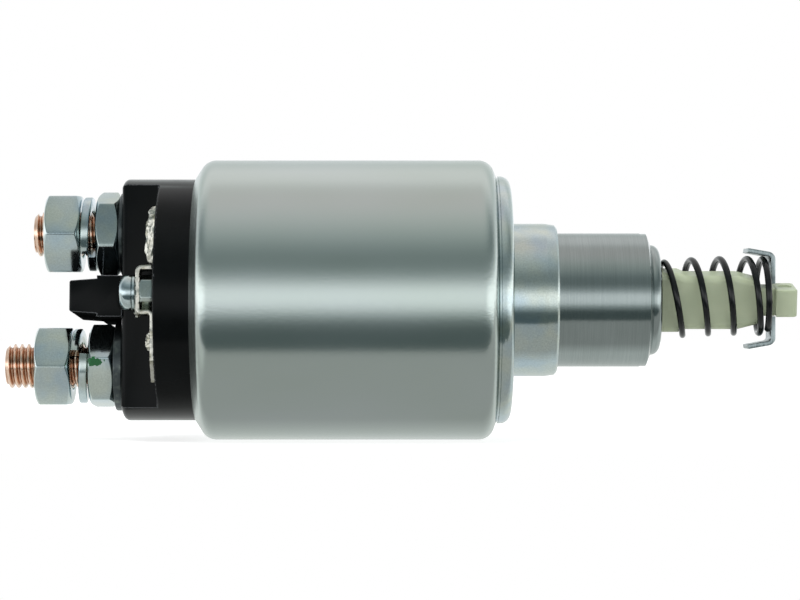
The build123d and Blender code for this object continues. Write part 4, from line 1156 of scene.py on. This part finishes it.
def with_painted_shade(mesh):
    """The switch cap's mesh, with the second finish, the painted shade, on the lower side of its barrier
    rib.
    """
    behind_platform = span_of("upper_washer")[1] - 0.2 * MM
    facing_down = -0.9
    # Painted shade: the downward faces of the rib take the dark copy of the phenolic.
    for face in mesh.polygons:
        face.material_index = int(face.normal.z < facing_down and face.center.x < behind_platform)
    return mesh


class SheetAndMouldedOperator(bpy.types.Operator):
    """Breaks the edges of the sheet, machined and moulded pieces"""
    bl_idname = "solenoid.sheet_and_moulded"
    bl_label = "Sheet and moulded pieces"

    def execute(self, context):
        sizes = context.scene.body_sizes
        colours = context.scene.finish_colours
        widths = {
            "spring_retainer": sizes.soft_edge,
            "contact_bridge": sizes.soft_edge,
            "rod_circlip": sizes.soft_edge,
            "pin_clip": sizes.soft_edge,
            "switch_cap": sizes.moulded_edge,
            "pull_rod": sizes.moulded_edge,
        }
        finishes = {
            # The switch cap's second finish is the painted shade on the rib's lower side.
            "switch_cap": {"others": [phenolic_draft(colours)]},
            "spring_retainer": {"material": dull_zinc(colours)},
        }
        for node, width in widths.items():
            mesh = copied(node)
            if node == "spring_retainer":
                mesh = swapped_sides(mesh)
            mesh = softened(node, mesh, width)
            if node == "switch_cap":
                mesh = with_painted_shade(mesh)
            show(node, "finished", mesh, **finishes.get(node, {}))
        return {"FINISHED"}


class CarriedOverOperator(bpy.types.Operator):
    """Gives the solids that keep their shape their finishes"""
    bl_idname = "solenoid.carried_over"
    bl_label = "Carried-over solids"

    def execute(self, context):
        for node, shown in frame["nodes"].items():
            if shown.hide_render:
                continue
            material = finish(slots[node])
            for slot in shown.material_slots:
                slot.material = material
        return {"FINISHED"}


def room_band(tree, share, bands):
    """The colour of the room at each height, from its (elevation in degrees, colour) bands."""
    stops = [((sin(radians(height)) + 1) / 2, linear(shade)) for height, shade in bands]
    return add(tree, "ShaderNodeValToRGB", {"Fac": share}, stops)


def studio_world():
    """A studio round the object: white to the camera. Metal sees the dark room below the table's edge,
    a strip of light at eye level that ends in a lamp on each side, a grey wall over it and a ceiling
    that is lighter at the back."""
    world = bpy.data.worlds.new("studio")
    world.use_nodes = True
    tree = world.node_tree
    tree.nodes.clear()
    direction = add(tree, "ShaderNodeTexCoord", output="Generated")
    parts = add(tree, "ShaderNodeSeparateXYZ", {"Vector": direction}).node.outputs
    share = between(tree, parts["Z"], 0, 1, -1, 1)
    front = room_band(tree, share, [
        (-40, "#4A5454"), (-19, "#4A5454"), (-11, "#98A0A0"), (-6, "#D8DCDD"), (2, "#E6E9EA"),
        (9, "#DEE1E2"), (14, "#AFB5B6"), (20, "#868E8E"), (27, "#6C7575"), (38, "#717A7A"),
        (47, "#878F8E"), (58, "#9CA29F"), (72, "#B1B2B0"), (90, "#BAB6B5")])
    back = room_band(tree, share, [
        (-25, "#B4BAB8"), (-12, "#7C8484"), (-4, "#CBCDCE"), (4, "#DEE0E2"), (15, "#C2C6C6"),
        (33, "#B8BCBB"), (50, "#D2D0D0"), (68, "#D4D1D1"), (90, "#BAB6B5")])
    turns_back = (-0.05, 0.45)
    room = shaded(tree, between(tree, parts["Y"], 0, 1, *turns_back), front, back)
    room = add(tree, "ShaderNodeVectorMath", {0: room, "Scale": ROOM_PEAK}, operation="SCALE")
    level = add(tree, "ShaderNodeMath", {0: parts["Z"]}, operation="ABSOLUTE")
    aside = add(tree, "ShaderNodeMath", {0: parts["X"]}, operation="ABSOLUTE")
    lamp_fades, lamp_starts = (0.1, 0.24), (0.3, 0.7)
    side_lamps = add(tree, "ShaderNodeMath", {
        0: between(tree, level, SIDE_LAMP, 0, *lamp_fades),
        1: between(tree, aside, 0, 1, *lamp_starts)}, operation="MULTIPLY")
    room = add(tree, "ShaderNodeVectorMath", {0: room, 1: side_lamps}, operation="ADD")
    rays = add(tree, "ShaderNodeLightPath").node.outputs
    reflected = add(tree, "ShaderNodeMath", {
        0: rays["Is Glossy Ray"], 1: rays["Is Transmission Ray"]}, operation="MAXIMUM")
    lit = shaded(tree, reflected, ROOM_GREY, room)
    shown = shaded(tree, rays["Is Camera Ray"], lit, WHITE)
    background = add(tree, "ShaderNodeBackground", {"Color": shown, "Strength": 1.0})
    add(tree, "ShaderNodeOutputWorld", {"Surface": background})
    return world


def floor_material(colours):
    """Pale seamless paper, which the camera sees white, with the object's shadow kept on it.
    Metal sees a painted glow that the lamps don't change, its strength laid out by place as painted light:
    brighter behind the object and by the terminals."""
    material, tree, shader, position = new_finish("studio_floor")
    mottle = patches(tree, position, 60, detail=2)
    base = shaded(tree, mottle, colours.floor, tinted(colours.floor, "#FFFFFF", 0.1))
    dress(tree, shader, base, 0.85, Specular_IOR_Level=0.1)
    rays = add(tree, "ShaderNodeLightPath").node.outputs
    overexposed = add(tree, "ShaderNodeBsdfDiffuse", {"Color": (FLOOR_GAIN, FLOOR_GAIN, FLOOR_GAIN, 1)})
    glow = add(tree, "ShaderNodeEmission", {"Color": (*WHITE, 1), "Strength": 1.0})
    white = add(tree, "ShaderNodeMixShader", {0: FLOOR_GLOW, 1: overexposed, 2: glow})
    parts = add(tree, "ShaderNodeSeparateXYZ", {"Vector": position}).node.outputs
    # Painted light: the glow that metal sees is brighter behind the object, and beside the terminals, the
    # more so in front of them.
    behind = between(tree, parts["Y"], 0.46, 0.8, -15 * MM, -4 * MM)
    beside = between(tree, parts["X"], 0.24, 0.0, -90 * MM, -76 * MM)
    ahead = between(tree, parts["Y"], 1, 0.45, -36 * MM, -26 * MM)
    paper = add(tree, "ShaderNodeMath", {0: beside, 1: ahead, 2: behind}, operation="MULTIPLY_ADD")
    painted_floor_glow = add(tree, "ShaderNodeEmission", {"Color": (*linear("#FBFFFC"), 1), "Strength": paper})
    reflected = add(tree, "ShaderNodeMixShader", {
        0: rays["Is Glossy Ray"], 1: shader.outputs["BSDF"], 2: painted_floor_glow})
    mixed = add(tree, "ShaderNodeMixShader", {0: rays["Is Camera Ray"], 1: reflected, 2: white})
    tree.links.new(mixed, found(tree, "OUTPUT_MATERIAL").inputs["Surface"])
    return material


def lamp(title, place, aim, size, power):
    """A soft area lamp that lights the object and isn't seen in its metal."""
    light = bpy.data.lights.new(title, "AREA")
    light.shape = "SQUARE"
    light.size = size
    light.energy = power
    holder = bpy.data.objects.new(title, light)
    bpy.context.scene.collection.objects.link(holder)
    holder.location = place
    holder.rotation_euler = (Vector(aim) - Vector(place)).to_track_quat("-Z", "Y").to_euler()
    holder.visible_glossy = False
    return holder


class StageOperator(bpy.types.Operator):
    """Sets up the floor, the lamps, the studio round the object and the camera"""
    bl_idname = "solenoid.stage"
    bl_label = "Stage"

    def execute(self, context):
        scene = context.scene
        settings = scene.stage_settings
        scene.view_settings.view_transform = "Standard"
        scene.world = studio_world()
        low, high = cad_box
        floor_z = low.z - 0.1 * MM
        reach, front = settings.floor_reach, settings.floor_front
        maker = bmesh.new()
        corners = [(-reach, front), (reach, front), (reach, reach), (-reach, reach)]
        maker.faces.new([maker.verts.new((x, y, floor_z)) for x, y in corners])
        mesh = mesh_from(maker, "studio_floor")
        mesh.materials.append(floor_material(scene.finish_colours))
        host_for("studio_floor", mesh)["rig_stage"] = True
        middle = (low + high) / 2
        overhead = (middle.x - 0.25, -0.25, 0.75)
        in_front = (middle.x + 0.3, -0.8, 0.2)
        lamp("key_lamp", overhead, middle, size=0.7, power=settings.key_power)
        lamp("fill_lamp", in_front, middle, size=0.6, power=settings.fill_power)
        camera = bpy.data.cameras.new("camera")
        camera.lens = settings.lens
        camera.shift_x = settings.shift
        camera.clip_start = 0.01
        holder = bpy.data.objects.new("camera", camera)
        scene.collection.objects.link(holder)
        holder.location = (settings.camera_x, -settings.camera_distance, 0)
        holder.rotation_euler = (pi / 2, 0, 0)
        scene.camera = holder
        return {"FINISHED"}


OPERATORS = (
    StageOperator,
    SpringsOperator,
    StudsOperator,
    NutsOperator,
    WashersOperator,
    ControlTerminalOperator,
    SheetAndMouldedOperator,
    CarriedOverOperator,
)
GROUPS = {
    "spring_sizes": SpringSizes,
    "fastener_sizes": FastenerSizes,
    "body_sizes": BodySizes,
    "finish_colours": FinishColours,
    "stage_settings": StageSettings,
}


class SolenoidPanel(bpy.types.Panel):
    """Lists the sizes, the colours and the steps that build the solenoid"""
    bl_idname = "VIEW3D_PT_solenoid"
    bl_label = "Starter solenoid"
    bl_space_type = "VIEW_3D"
    bl_region_type = "UI"
    bl_category = "Solenoid"

    def draw(self, context):
        for step in OPERATORS:
            self.layout.operator(step.bl_idname)
        for title in GROUPS:
            group = getattr(context.scene, title)
            box = self.layout.box()
            for name in group.__annotations__:
                box.prop(group, name)


def register():
    for group in GROUPS.values():
        bpy.utils.register_class(group)
    for title, group in GROUPS.items():
        setattr(bpy.types.Scene, title, PointerProperty(type=group))
    for step in OPERATORS:
        bpy.utils.register_class(step)
    bpy.utils.register_class(SolenoidPanel)


def unregister():
    bpy.utils.unregister_class(SolenoidPanel)
    for step in reversed(OPERATORS):
        bpy.utils.unregister_class(step)
    for title, group in GROUPS.items():
        delattr(bpy.types.Scene, title)
        bpy.utils.unregister_class(group)


def main():
    """Registers the classes, builds every piece in order and works out the two boxes."""
    register()
    for step in OPERATORS:
        group, name = step.bl_idname.split(".")
        getattr(getattr(bpy.ops, group), name)()
    boxes = {"cad": cad_box, "visual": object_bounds()}
    boxes = {title: [list(corner) for corner in box] for title, box in boxes.items()}


if __name__ == "__main__":
    main()
